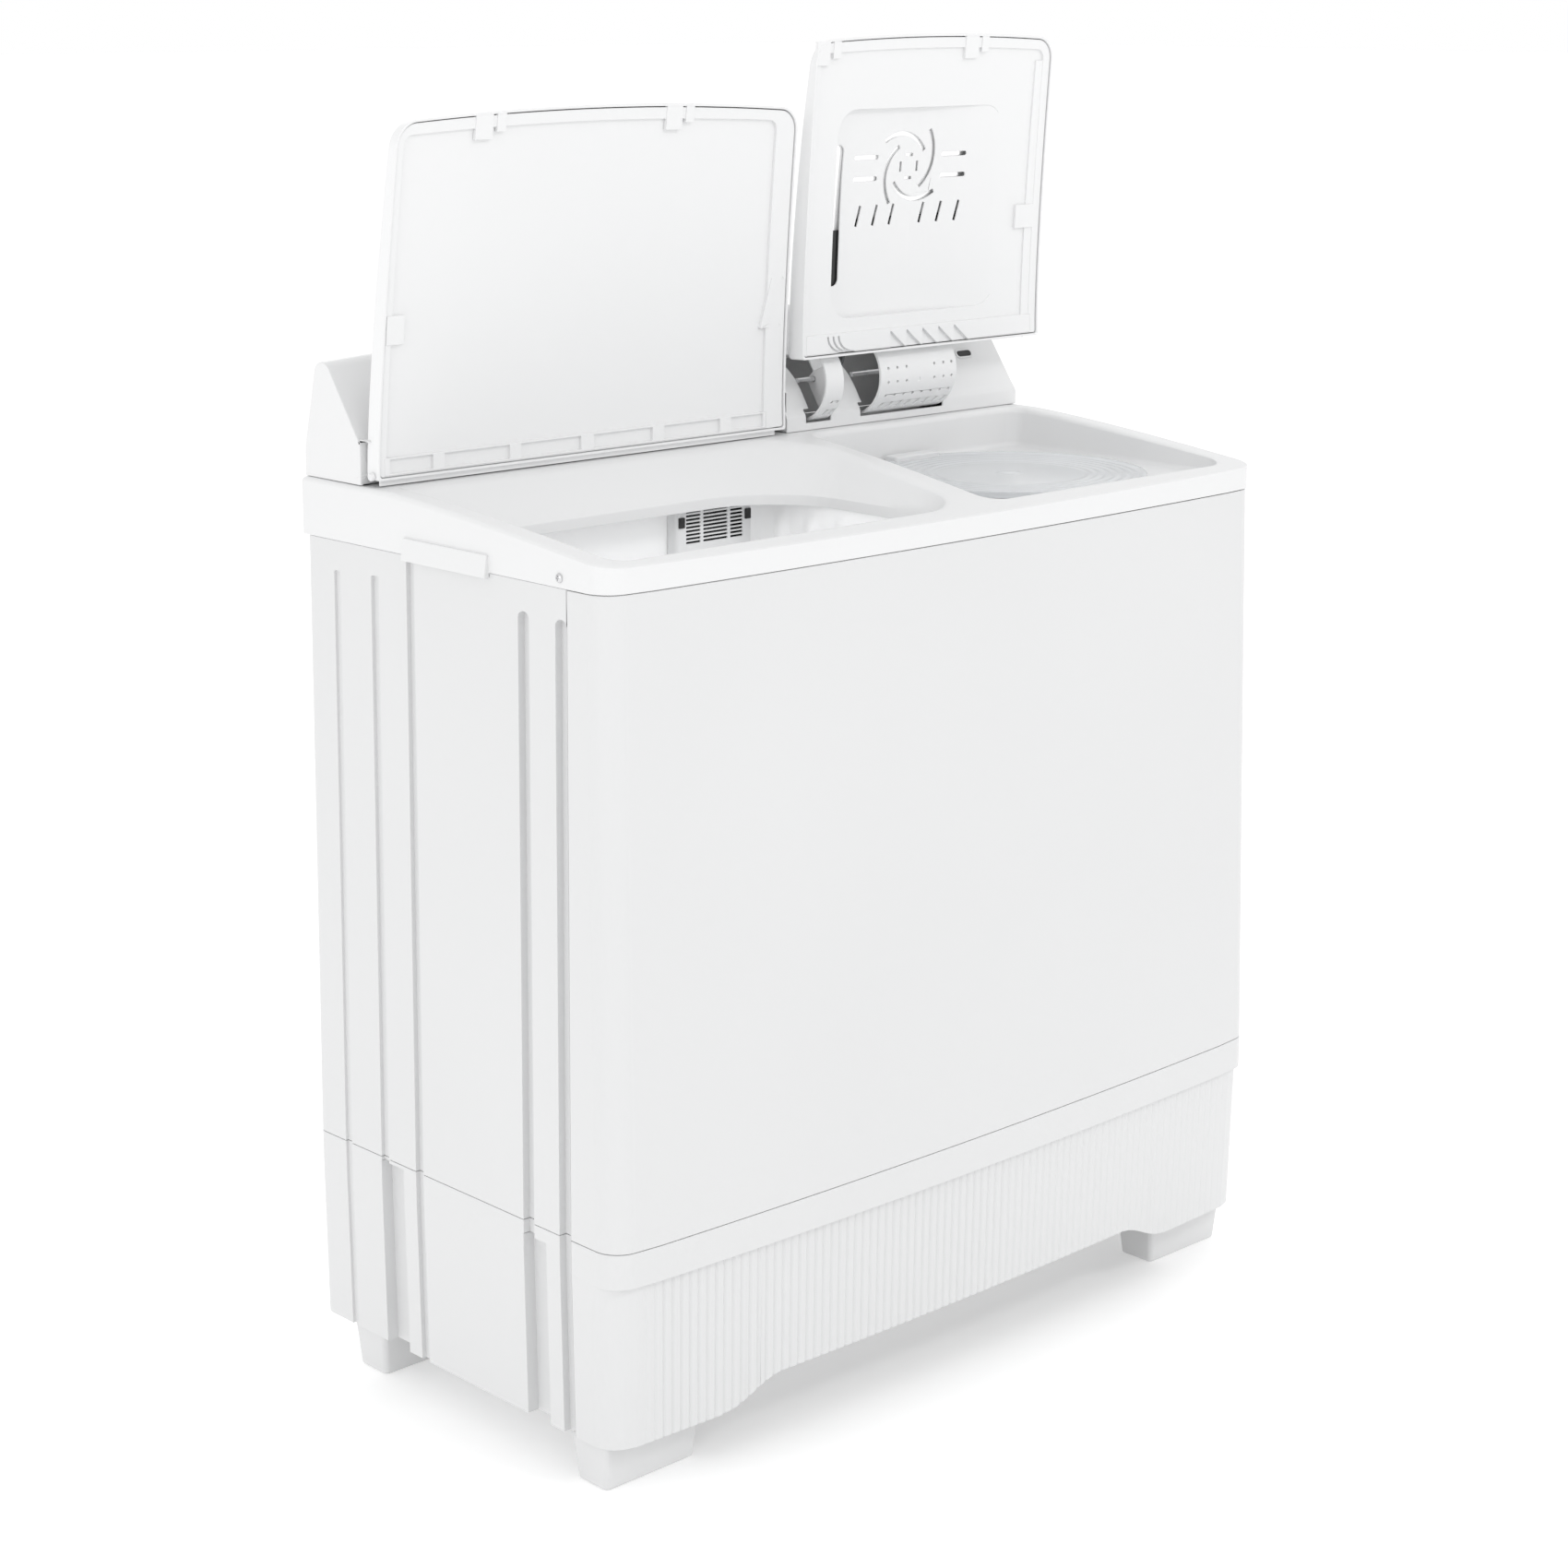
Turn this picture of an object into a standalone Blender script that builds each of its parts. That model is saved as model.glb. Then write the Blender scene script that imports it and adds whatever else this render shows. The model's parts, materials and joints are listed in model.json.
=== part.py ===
"""Twin-tub top-loading washing machine: wash tub on the left, spin dryer on the right.

Metres, +Z up, X along the width, -Y is the front. The origin is on the floor,
under the middle of the machine. Both lids stand open, which is the rest pose.
"""

import math

import bmesh
import bpy
from mathutils import Matrix, Vector

# Driving dimensions
HALF_WIDTH = 0.460        # top frame and cabinet, half their width
REAR_Y = 0.243
FRONT_Y = -0.220          # front corners of the casing
WALL = 0.003              # injection-moulded wall
GAP = 0.0003              # between touching pieces
CORNER_R = 0.028          # upright front corners
BOW_TOP = 0.013           # how far the front swells forward under the top frame
BOW_LOW = 0.019           # and at the foot of the front panel
FLARE = 0.006             # how much wider each side is at the low seam

BASE_Z = 0.047            # underside of the base
SEAM_Z = 0.247            # seam between base and cabinet
BAND_Z = 0.212            # the front band ends here and the fluted skirt begins
CABINET_TOP_Z = 0.867
FRAME_TOP_Z = 0.925       # flat rear part of the deck
DECK_DROP = 0.033         # how far the deck falls to its front edge
DECK_BEND_Y = 0.115       # where the fall begins
PANEL_TOP_Z = 1.040       # control panel at its ends
PANEL_CROWN = 0.016       # extra height at its middle

GROOVE_DEPTH = 0.008
GROOVES = (               # y of the rear wall, width, depth, top z
    (0.193, 0.010, 0.003, 0.837),
    (0.132, 0.012, 0.004, 0.840),
    (0.075, 0.012, 0.005, 0.861),
    (-0.095, 0.016, GROOVE_DEPTH, 0.838),
    (-0.149, 0.016, GROOVE_DEPTH, 0.838),
)
SIDE_FRONT_Y = -0.1655    # side walls end in the foremost groove
DOOR_HALF = 0.300         # service opening in the rear wall
DOOR_TOP_Z = 0.560
DOOR_SLACK = 0.0005       # its cover is this much smaller
ARCH_X = 0.325            # where the skirt's low arch begins at each side
ARCH_Z = 0.049
ARCH_RUN = 0.075          # length of the curve at each end of the arch
ARCH_RISE = 0.022
SKIRT_SET_BACK = 0.006    # fluted skirt behind the band above it
FOOT_PLACES = {
    "front_left_foot": (-0.397, -0.176), "front_right_foot": (0.397, -0.176),
    "rear_left_foot": (-0.397, 0.175), "rear_right_foot": (0.397, 0.175),
}
FOOT_HALF = (0.060, 0.026)                     # half its length and half its depth
FOOT_DRAFT = 0.004        # each foot is this much smaller at the floor
FOOT_ROUND = 0.006

WASH_X = -0.205           # pulsator axis
WASH_Y = -0.050
SPIN_X = 0.256            # spin basket axis
SPIN_Y = -0.045
WASH_TUB = (-0.440, 0.028, -0.206, 0.112)   # x and y reach of the wash tub
WASH_TUB_RADII = (0.060, 0.060, 0.018, 0.060)
WASH_TUB_Z = 0.315
WASH_BORE_R = 0.016       # for the pulsator's seal and shaft
DRAIN_OFFSET = 0.175      # the tub's drain is this far right of the pulsator
DRAIN_BORE_R = 0.018
PULSATOR_LIFT = 0.004     # pulsator's underside above the tub's floor
FIN_REACH = (0.020, 0.138)                     # from the axis, inner and outer end
FIN_HALF = 0.006
BASKET_Z = (0.385, 0.866)
BASKET_SHEET = 0.0015
MOTOR_X = -0.372          # wash motor's axis
MOTOR_Y = 0.085
BELT_R = (0.0835, 0.0205)                      # belt line round the large and the small pulley
SPRING_TURNS = 4
SPRING_R = 0.012
SPRING_WIRE = 0.0018
SPRING_CIRCLE = 0.075     # springs stand this far from the spin axis
SPIN_TUB_R = 0.155
SPIN_TUB_Z = 0.360
TUB_TOP_Z = 0.8680
SPIN_TUB_TOP_Z = 0.8760
BASKET_R = 0.130
WELL_FLOOR_Z = 0.880
WELL_HOLE_R = 0.138

CHUTE = (-0.433, 0.020, -0.203, 0.070)      # lower mouth of the wash opening
CHUTE_Z = 0.880
CHUTE_TOP_Z = 0.950
CHUTE_RADII = (0.020, 0.060, 0.090, 0.012)
CHUTE_SPREAD_X = (0.034, 0.072)                # flare to the right: at the front, and extra at the rear
CHUTE_SPREAD_Y = 0.082                         # flare to the rear
WELL = (0.085, 0.437, -0.200, 0.116)           # x and y reach of the spin well
WELL_RADII = (0.025, 0.030, 0.020, 0.030)
WELL_LEAN = 0.045                              # its left side runs aslant by this much
GRIP_Y = (-0.054, 0.075)                       # carrying grips on both ends of the top frame
GRIP_Z = (0.8625, 0.884)
GRIP_PROUD = 0.0070
SCREW_YZ = (-0.157, 0.8765)                    # screws through both ends of the top frame
LINT_FILTER = (-0.100, 0.007, 0.0935, 0.1080)  # x and y reach
LINT_FILTER_Z = (0.640, 0.8765)
INNER_COVER_R = 0.148
INNER_COVER_AXIS = (0.106, 0.8875)

WASH_AXIS = (0.131, 0.9355)                 # y and z of the wash lid's hinge
WASH_LID_X = (-0.455, 0.083)
WASH_LID_REACH = (-0.0040, 0.3385)          # from the axis to its rear and front edges
WASH_LID_THICK = 0.023
WASH_LID_EDGE = 0.014                       # thickness at the front edge
WASH_LID_BOW = 0.010                        # how far the front edge swells forward
WASH_LID_TAPER = 0.010                      # how far each side draws in towards the front
WASH_LINER = (0.0070, 0.0048)               # top of the liner, and of the tray in it
WASH_LID_OPEN = math.radians(90)
SPIN_AXIS = (0.1525, 0.9775)                # y and z of the spin lid's hinge
SPIN_LID_X = (0.090, 0.463)
SPIN_LID_REACH = (0.0275, 0.3625)
SPIN_LID_THICK = 0.026
SPIN_LID_EDGE = 0.010
SPIN_LID_BOW = 0.006
SPIN_LID_TAPER = 0.002
SPIN_LINER = (0.0065, 0.0043)
SPIN_LID_OPEN = math.radians(92)
LID_CLEAR = 0.0020                          # closed lid above the deck
LID_SKIN = 0.0025
LINER_SLACK = 0.0005                        # between a liner and its shell
TRAY_INSET = 0.006                          # width of the rim round the tray, less the slack
ARM_R = 0.045
ARM_SWEEP = (148, 250)                      # degrees about the hinge, from the rear
ARM_BORE_R = 0.0033
HINGE_ROD_R = 0.0030
LID_PIN_R = 0.0040
WIDE_ARM_X = (0.213, 0.333)
NARROW_ARM_X = (0.130, 0.156)
ARM_SLOT_SLACK = (0.008, 0.003)             # slot wider than its arm, left and right
ARM_SLOT_TOP_Z = 1.004

PANEL_CROWN_FROM_Z = 0.965                  # the crown lifts only what is above this
PANEL_FRONT_Y = 0.131
NOSE_CENTRE_Y = 0.208                       # rounded top edge of the panel
NOSE_R = 0.014
LID_ROOM = ((-0.47, 0.12, 0.92), (0.093, 0.1480, 0.968))   # where the wash lid's rear edge turns
FACE_LOW = (0.134, 0.945)                   # y and z of the control face, foot and top
FACE_HIGH = (0.199, 1.036)
KNOBS = (                                   # node, x, radius
    ("wash_timer_knob", -0.340, 0.024),
    ("water_selector_knob", -0.215, 0.019),
    ("wash_mode_knob", -0.090, 0.019),
    ("spin_timer_knob", 0.400, 0.020),
)
KNOB_HEIGHT = 0.75        # how far up the control face the knobs sit
KNOB_GAP = 0.0035         # below a knob
KNOB_TALL = 0.016
GRIP_BAR = (0.0045, 0.012, 0.024)              # half its width, and its foot and top
KNOB_STEM_R = 0.0030
KNOB_HOLE_R = 0.0045
WINDOW_X = 0.400
WINDOW_HEIGHT = 0.43      # how far up the control face the status window sits
WINDOW_HALF = (0.011, 0.0035)
TIMERS = (("wash_timer", -0.340), ("spin_timer", 0.400))
SPIGOTS = (               # node, x, z, radius: short stubs through the panel's rear wall
    ("wash_inlet", -0.260, 0.990, 0.0130),
    ("spin_inlet", 0.240, 0.990, 0.0130),
    ("cord_gland", 0.350, 0.985, 0.0080),
)
DRAIN_OUTLET = (0.0, 0.110, 0.0160)          # x, z, radius

FINISHES = {              # colour, roughness, metallic
    "white_plastic": ((0.86, 0.86, 0.86), 0.35, 0.0),
    "soft_white_plastic": ((0.80, 0.81, 0.82), 0.45, 0.0),
    "grey_plastic": ((0.42, 0.43, 0.45), 0.50, 0.0),
    "black_plastic": ((0.03, 0.03, 0.03), 0.40, 0.0),
    "rubber": ((0.05, 0.05, 0.05), 0.85, 0.0),
    "bright_steel": ((0.72, 0.72, 0.73), 0.25, 1.0),
    "painted_steel": ((0.30, 0.32, 0.34), 0.55, 0.0),
    "cast_alloy": ((0.58, 0.59, 0.60), 0.45, 1.0),
}


def clear_scene():
    for item in list(bpy.data.objects):
        bpy.data.objects.remove(item, do_unlink=True)


def new_collection(name):
    made = bpy.data.collections.new(name)
    bpy.context.scene.collection.children.link(made)
    return made


clear_scene()
MACHINE = new_collection("washing_machine")
CUTTERS = new_collection("cutters")


# Tools of the bench

def add_piece(name, mesh):
    """A loose piece, kept with the cutters until it is finished."""
    piece = bpy.data.objects.new(name, mesh)
    CUTTERS.objects.link(piece)
    piece.hide_render = True
    piece.display_type = "WIRE"
    return piece


def mesh_from(name, bm):
    bmesh.ops.remove_doubles(bm, verts=bm.verts, dist=0.00002)
    bmesh.ops.recalc_face_normals(bm, faces=bm.faces)
    mesh = bpy.data.meshes.new(name)
    bm.to_mesh(mesh)
    bm.free()
    return mesh


def bake(piece):
    """Turns a piece with its modifiers into a plain mesh of its own."""
    bpy.context.view_layer.update()
    evaluated = piece.evaluated_get(bpy.context.evaluated_depsgraph_get())
    mesh = bpy.data.meshes.new_from_object(evaluated)
    bm = bmesh.new()
    bm.from_mesh(mesh)
    bm.transform(piece.matrix_world)
    name = piece.name
    bpy.data.meshes.remove(mesh)
    bpy.data.objects.remove(piece, do_unlink=True)
    return add_piece(name, mesh_from(name, bm))


def block(name, low, high):
    bm = bmesh.new()
    bmesh.ops.create_cube(bm, size=1.0)
    size = Vector(high) - Vector(low)
    middle = (Vector(high) + Vector(low)) / 2
    bmesh.ops.scale(bm, vec=size, verts=bm.verts)
    bmesh.ops.translate(bm, vec=middle, verts=bm.verts)
    return add_piece(name, mesh_from(name, bm))


def slab(name, outlines, low, high):
    """A flat outline, with any further outlines as holes, standing from low to high in z."""
    curve = bpy.data.curves.new(name, "CURVE")
    curve.dimensions = "2D"
    curve.fill_mode = "BOTH"
    curve.extrude = (high - low) / 2
    for outline in outlines:
        spline = curve.splines.new("POLY")
        spline.points.add(len(outline) - 1)
        for point, (x, y) in zip(spline.points, outline):
            point.co = (x, y, 0, 1)
        spline.use_cyclic_u = True
    piece = bpy.data.objects.new(name, curve)
    CUTTERS.objects.link(piece)
    piece.location.z = (low + high) / 2
    return bake(piece)


def turned(name, profile, centre, steps=24):
    """A profile of (radius, z) points turned round a vertical axis at centre (x, y)."""
    bm = bmesh.new()
    points = [bm.verts.new((radius, 0, z)) for radius, z in profile]
    for first, second in zip(points, points[1:]):
        bm.edges.new((first, second))
    if profile[0][0] > 0:
        bm.edges.new((points[-1], points[0]))
    mesh = bpy.data.meshes.new(name)
    bm.to_mesh(mesh)
    bm.free()
    piece = add_piece(name, mesh)
    screw = piece.modifiers.new("turn", "SCREW")
    screw.steps = steps
    screw.render_steps = steps
    screw.use_merge_vertices = True
    screw.merge_threshold = 0.00005
    piece.location = (*centre, 0)
    return bake(piece)


def rod(name, start, end, radius, sides=12, tip=None):
    """A straight round bar, or a cone when tip gives its far radius."""
    start, end = Vector(start), Vector(end)
    bm = bmesh.new()
    far = radius if tip is None else tip
    bmesh.ops.create_cone(bm, cap_ends=True, segments=sides, radius1=radius, radius2=far,
                          depth=(end - start).length)
    turn = Vector((0, 0, 1)).rotation_difference(end - start).to_matrix().to_4x4()
    bmesh.ops.transform(bm, matrix=Matrix.Translation((start + end) / 2) @ turn, verts=bm.verts)
    return add_piece(name, mesh_from(name, bm))


def combine(piece, others, operation):
    for other in others:
        step = piece.modifiers.new(operation.lower(), "BOOLEAN")
        step.operation = operation
        step.solver = "EXACT"
        step.object = other
    piece = bake(piece)
    for other in others:
        bpy.data.objects.remove(other, do_unlink=True)
    return piece


def cut(piece, *cutters):
    return combine(piece, cutters, "DIFFERENCE")


def join(piece, *others):
    return combine(piece, others, "UNION")


def keep_inside(piece, shape):
    return combine(piece, [shape], "INTERSECT")


def reshape(piece, move):
    """Moves each vertex to where move(x, y, z) says; triangles keep bent faces exact."""
    bm = bmesh.new()
    bm.from_mesh(piece.data)
    bmesh.ops.triangulate(bm, faces=bm.faces)
    for vertex in bm.verts:
        vertex.co = move(*vertex.co)
    bmesh.ops.recalc_face_normals(bm, faces=bm.faces)
    bm.to_mesh(piece.data)
    bm.free()
    return piece


def slice_across(piece, axis, places):
    """Adds edge loops at the given places along one axis, so that the piece can bend there."""
    bm = bmesh.new()
    bm.from_mesh(piece.data)
    normal = Vector((0, 0, 0))
    normal[axis] = 1
    for place in places:
        everything = bm.verts[:] + bm.edges[:] + bm.faces[:]
        bmesh.ops.bisect_plane(bm, geom=everything, plane_co=normal * place, plane_no=normal,
                               dist=0.00001)
    bm.to_mesh(piece.data)
    bm.free()
    return piece


def finish(piece, kind):
    """Names, colours and shades a finished piece, and moves it among the machine's parts."""
    colour, roughness, metallic = FINISHES[kind]
    paint = bpy.data.materials.new(f"{piece.name}_{kind}")
    paint.use_nodes = True
    shader = paint.node_tree.nodes["Principled BSDF"]
    shader.inputs["Base Color"].default_value = (*colour, 1)
    shader.inputs["Roughness"].default_value = roughness
    shader.inputs["Metallic"].default_value = metallic
    piece.data.materials.clear()
    piece.data.materials.append(paint)
    piece.data.shade_smooth()
    piece.data.set_sharp_from_angle(angle=math.radians(30))
    CUTTERS.objects.unlink(piece)
    MACHINE.objects.link(piece)
    piece.hide_render = False
    piece.display_type = "TEXTURED"
    return piece


def pivot(name, place):
    """An empty on a joint's axis, which the moving pieces hang from."""
    empty = bpy.data.objects.new(name, None)
    empty.location = place
    MACHINE.objects.link(empty)
    return empty


def hang(piece, empty):
    piece.parent = empty
    piece.matrix_parent_inverse = Matrix.Translation(-empty.location)


# Outlines, as lists of (x, y)

def arc(centre, radius, start, end, steps):
    angles = [math.radians(start + (end - start) * n / steps) for n in range(steps + 1)]
    return [(centre[0] + radius * math.cos(a), centre[1] + radius * math.sin(a)) for a in angles]


def rounded_box(x0, x1, y0, y1, radii, steps=5):
    """Anticlockwise from the front left corner; radii are front left, front right, rear right,
    rear left."""
    corners = ((x0, y0, 1, 1, 180), (x1, y0, -1, 1, 270), (x1, y1, -1, -1, 0), (x0, y1, 1, -1, 90))
    outline = []
    for (x, y, inward, up, start), radius in zip(corners, radii):
        centre = (x + inward * radius, y + up * radius)
        outline += arc(centre, radius, start, start + 90, steps)
    return outline


def front_bow(x, bow):
    return -bow * (1 - (x / HALF_WIDTH) ** 2)


def casing_outline(inset=0.0, rear=REAR_Y, bow=BOW_TOP, grow_front=0.0):
    """The casing seen from above, with its front corners rounded and its front bowed."""
    half = HALF_WIDTH - inset
    front = FRONT_Y + inset - grow_front
    radius = CORNER_R - inset
    left = arc((-half + radius, front + radius), radius, 180, 262, 5)
    right = [(-x, y) for x, y in reversed(left)]
    inner = half - radius
    middle = [(inner * n / 5, front + front_bow(inner * n / 5, bow)) for n in range(-4, 5)]
    return [(-half, rear), *left, *middle, *right, (half, rear)]


def flared(x, y, z):
    """The casing widens a little from the top frame down to the low seam."""
    down = min(1.0, max(0.0, (CABINET_TOP_Z - z) / (CABINET_TOP_Z - SEAM_Z)))
    if z < BAND_Z:
        down -= 0.5 * (BAND_Z - z) / BAND_Z
    side = down * FLARE * max(-1.0, min(1.0, x / (HALF_WIDTH - 0.04)))
    ahead = down * (BOW_LOW - BOW_TOP + 0.004) if y < SIDE_FRONT_Y - 0.004 else 0.0
    return x + side, y - ahead, z


def deck_height(y):
    ahead = max(0.0, DECK_BEND_Y - y) / (DECK_BEND_Y + 0.220)
    return FRAME_TOP_Z - DECK_DROP * ahead ** 1.35


def deck_profile(lower=0.0):
    """A solid whose top follows the deck, for trimming the top frame."""
    count = 9
    ys = [-0.26 + (DECK_BEND_Y + 0.26) * n / count for n in range(count + 1)]
    outline = [(y, deck_height(y) - lower) for y in ys]
    outline = [(-0.26, 0.84), *outline, (0.26, FRAME_TOP_Z - lower), (0.26, 0.84)]
    shape = slab("deck_profile", [outline], -0.55, 0.55)
    return reshape(shape, lambda u, v, w: (w, u, v))


# Casing

def side_grooves(name, low, grow=0.0):
    """The upright grooves in both sides, as one cutter for each."""
    made = []
    for n, (rear, width, depth, top) in enumerate(GROOVES):
        for side in (-1, 1):
            near, far = sorted((side * (HALF_WIDTH - depth - grow), side * (HALF_WIDTH + 0.05)))
            made.append(block(f"{name}_{n}_{side}", (near, rear - width - grow, low),
                              (far, rear + grow, top + grow)))
    return made


def make_cabinet_shell():
    low, high = SEAM_Z + GAP, CABINET_TOP_Z - GAP
    front = SIDE_FRONT_Y
    outline = rounded_box(-HALF_WIDTH, HALF_WIDTH, front, REAR_Y, (0.001, 0.001, 0.012, 0.012), 3)
    shell = slab("cabinet_shell", [outline], low, high)
    shell = cut(shell, *side_grooves("groove", low - 0.01))
    inset = HALF_WIDTH - WALL
    room = rounded_box(-inset, inset, front - 0.05, REAR_Y - WALL, (0.001, 0.001, 0.009, 0.009), 3)
    hollow = slab("hollow", [room], low - 0.02, high + 0.02)
    hollow = cut(hollow, *side_grooves("boss", low - 0.03, WALL))
    shell = cut(shell, hollow)
    door = block("door", (-DOOR_HALF, REAR_Y - 0.02, low - 0.01),
                 (DOOR_HALF, REAR_Y + 0.02, DOOR_TOP_Z))
    shell = cut(shell, door)
    finish(reshape(shell, flared), "white_plastic")


def make_rear_cover():
    half = DOOR_HALF - DOOR_SLACK
    cover = block("rear_cover", (-half, REAR_Y - 0.0035, SEAM_Z + 0.001),
                  (half, REAR_Y - 0.0008, DOOR_TOP_Z - DOOR_SLACK))
    finish(cover, "soft_white_plastic")


def wrap_front(name, low, high, inset=0.0):
    """A front skin with both corners and a short flange that reaches into the last groove."""
    rear = SIDE_FRONT_Y - GAP
    skin = slab(name, [casing_outline(inset, rear)], low, high)
    room = slab("hollow", [casing_outline(inset + WALL, rear + 0.02)], low - 0.02, high + 0.02)
    depth = HALF_WIDTH - GROOVE_DEPTH - WALL
    for side in (-1, 1):
        near, far = sorted((side * depth, side * (HALF_WIDTH + 0.01)))
        room = cut(room, block("flange", (near, rear - WALL, low - 0.03),
                               (far, rear + 0.03, high + 0.03)))
    return cut(skin, room)


def make_front_panel():
    panel = wrap_front("front_panel", SEAM_Z + GAP, CABINET_TOP_Z - GAP)
    finish(reshape(panel, flared), "white_plastic")


def make_base_frame():
    low, high = BASE_Z + 0.001, SEAM_Z - GAP
    front = SIDE_FRONT_Y
    outline = rounded_box(-HALF_WIDTH, HALF_WIDTH, front, REAR_Y, (0.001, 0.001, 0.012, 0.012), 3)
    base = slab("base_frame", [outline], low, high)
    base = cut(base, *side_grooves("groove", low - 0.01))
    inset = HALF_WIDTH - WALL
    room = rounded_box(-inset, inset, front - 0.05, REAR_Y - WALL, (0.001, 0.001, 0.009, 0.009), 3)
    hollow = slab("hollow", [room], low + WALL, high + 0.02)
    hollow = cut(hollow, *side_grooves("boss", low - 0.03, WALL))
    x, z, radius = DRAIN_OUTLET
    base = cut(base, hollow, rod("drain", (x, 0.20, z), (x, 0.26, z), radius + 0.0005, 16))
    base = slice_across(base, 2, [BAND_Z])
    finish(reshape(base, flared), "white_plastic")


def skirt_arch():
    """The low arch along the foot of the skirt, as a cutter in front view."""
    left = [(-ARCH_X - 0.005, 0.03), (-ARCH_X, ARCH_Z)]
    rise = [(-ARCH_X + ARCH_RUN * n / 6, ARCH_Z + ARCH_RISE * (1 - math.cos(math.pi * n / 6)) / 2)
            for n in range(1, 7)]
    half = left + rise
    outline = half + [(-x, z) for x, z in reversed(half)]
    arch = slab("arch", [outline], -0.30, 0.30)
    return reshape(arch, lambda u, v, w: (u, w, v))


def make_base_skirt():
    band = wrap_front("base_skirt", BAND_Z, SEAM_Z - GAP)
    skirt = wrap_front("skirt", BASE_Z + 0.001, BAND_Z + 0.002)
    front = SIDE_FRONT_Y - 0.01
    skirt = reshape(skirt, lambda x, y, z: (x, y + SKIRT_SET_BACK if y < front else y, z))
    band = join(band, skirt)
    ledge = casing_outline(0.001, SIDE_FRONT_Y - 0.012)
    room = casing_outline(0.012, SIDE_FRONT_Y + 0.02)
    step = cut(slab("ledge", [ledge], BAND_Z + 0.0002, BAND_Z + WALL),
               slab("room", [room], BAND_Z - 0.01, BAND_Z + 0.02))
    band = cut(join(band, step), skirt_arch())
    finish(reshape(band, flared), "white_plastic")


def make_feet():
    along, across = FOOT_HALF
    for name, (x, y) in FOOT_PLACES.items():
        foot = block(name, (x - along, y - across, 0), (x + along, y + across, BASE_Z + 0.001 - GAP))
        foot = reshape(foot, lambda a, b, c: (a - FOOT_DRAFT * (a - x) / along * (c < 0.01),
                                              b - FOOT_DRAFT * (b - y) / across * (c < 0.01), c))
        soft = foot.modifiers.new("round", "BEVEL")
        soft.width = FOOT_ROUND
        soft.segments = 2
        soft.limit_method = "NONE"
        foot = bake(foot)
        finish(foot, "white_plastic")


# Top frame

def chute_outline(grow=0.0):
    x0, x1, y0, y1 = CHUTE
    radii = [r + grow for r in CHUTE_RADII]
    return rounded_box(x0 - grow, x1 + grow, y0 - grow, y1 + grow, radii, 5)


def chute(name, grow, low):
    """The wash opening: upright below, then flared to the rear and the right up to the deck."""
    x0, x1, y0, y1 = CHUTE
    upper = slab(name, [chute_outline(grow)], CHUTE_Z, CHUTE_TOP_Z)

    def flare_out(x, y, z):
        if z < (CHUTE_Z + CHUTE_TOP_Z) / 2:
            return x, y, z
        back = (y - y0) / (y1 - y0)
        across = (x - x0) / (x1 - x0)
        front, rear = CHUTE_SPREAD_X
        return x + across * (front + rear * back), y + back * CHUTE_SPREAD_Y, z

    upper = reshape(upper, flare_out)
    return join(upper, slab("neck", [chute_outline(grow)], low, CHUTE_Z + 0.0005))


def well_outline(grow=0.0):
    x0, x1, y0, y1 = WELL
    radii = [r + grow for r in WELL_RADII]
    outline = rounded_box(x0 - grow, x1 + grow, y0 - grow, y1 + grow, radii, 4)
    return [(x - WELL_LEAN * (x1 - x) / (x1 - x0) * (0.5 - (y - y0) / (y1 - y0)), y)
            for x, y in outline]


def make_top_frame():
    outline = [(x * (HALF_WIDTH + 0.001) / HALF_WIDTH, y) for x, y in casing_outline(grow_front=0.001)]
    frame = slab("top_frame", [outline], CABINET_TOP_Z, 0.95)
    frame = keep_inside(frame, deck_profile())
    room = slab("room", [casing_outline(WALL, REAR_Y - WALL)], 0.85, 0.95)
    frame = cut(frame, keep_inside(room, deck_profile(WALL)))
    walls = keep_inside(chute("chute_walls", WALL, TUB_TOP_Z + GAP), deck_profile(0.0012))
    well = keep_inside(slab("well", [well_outline(WALL)], WELL_FLOOR_Z - WALL, 0.95),
                       deck_profile(0.0008))
    frame = join(frame, walls)
    frame = join(frame, well)
    frame = cut(frame, chute("opening", 0.0, 0.85))
    frame = cut(frame, slab("recess", [well_outline()], WELL_FLOOR_Z, 0.96))
    frame = cut(frame, rod("hole", (SPIN_X, SPIN_Y, 0.86), (SPIN_X, SPIN_Y, 0.90), WELL_HOLE_R, 32))
    for side in (-1, 1):
        near, far = sorted((side * (HALF_WIDTH + 0.0005), side * (HALF_WIDTH + GRIP_PROUD)))
        grip = block("grip", (near, GRIP_Y[0], GRIP_Z[0]), (far, GRIP_Y[1], GRIP_Z[1]))
        frame = join(frame, grip)
    finish(frame, "white_plastic")


def make_frame_screws():
    for name, side in (("left_frame_screw", -1), ("right_frame_screw", 1)):
        start = side * (HALF_WIDTH + 0.001 + GAP)
        screw = rod(name, (start, *SCREW_YZ), (start + side * 0.0025, *SCREW_YZ), 0.0045, 12, 0.0030)
        finish(screw, "bright_steel")


# Tubs, drives and plumbing

def make_wash_tub():
    x0, x1, y0, y1 = WASH_TUB
    radii = WASH_TUB_RADII
    tub = slab("wash_tub", [rounded_box(x0, x1, y0, y1, radii, 5)], WASH_TUB_Z, TUB_TOP_Z)
    t = WALL
    room = rounded_box(x0 + t, x1 - t, y0 + t, y1 - t, [r - t for r in radii], 5)
    tub = cut(tub, slab("room", [room], WASH_TUB_Z + t, TUB_TOP_Z + 0.02))
    bore = rod("bore", (WASH_X, WASH_Y, 0.30), (WASH_X, WASH_Y, 0.33), WASH_BORE_R, 16)
    x = WASH_X + DRAIN_OFFSET
    drain = rod("drain", (x, WASH_Y, 0.30), (x, WASH_Y, 0.33), DRAIN_BORE_R, 12)
    finish(cut(tub, bore, drain), "soft_white_plastic")


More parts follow.
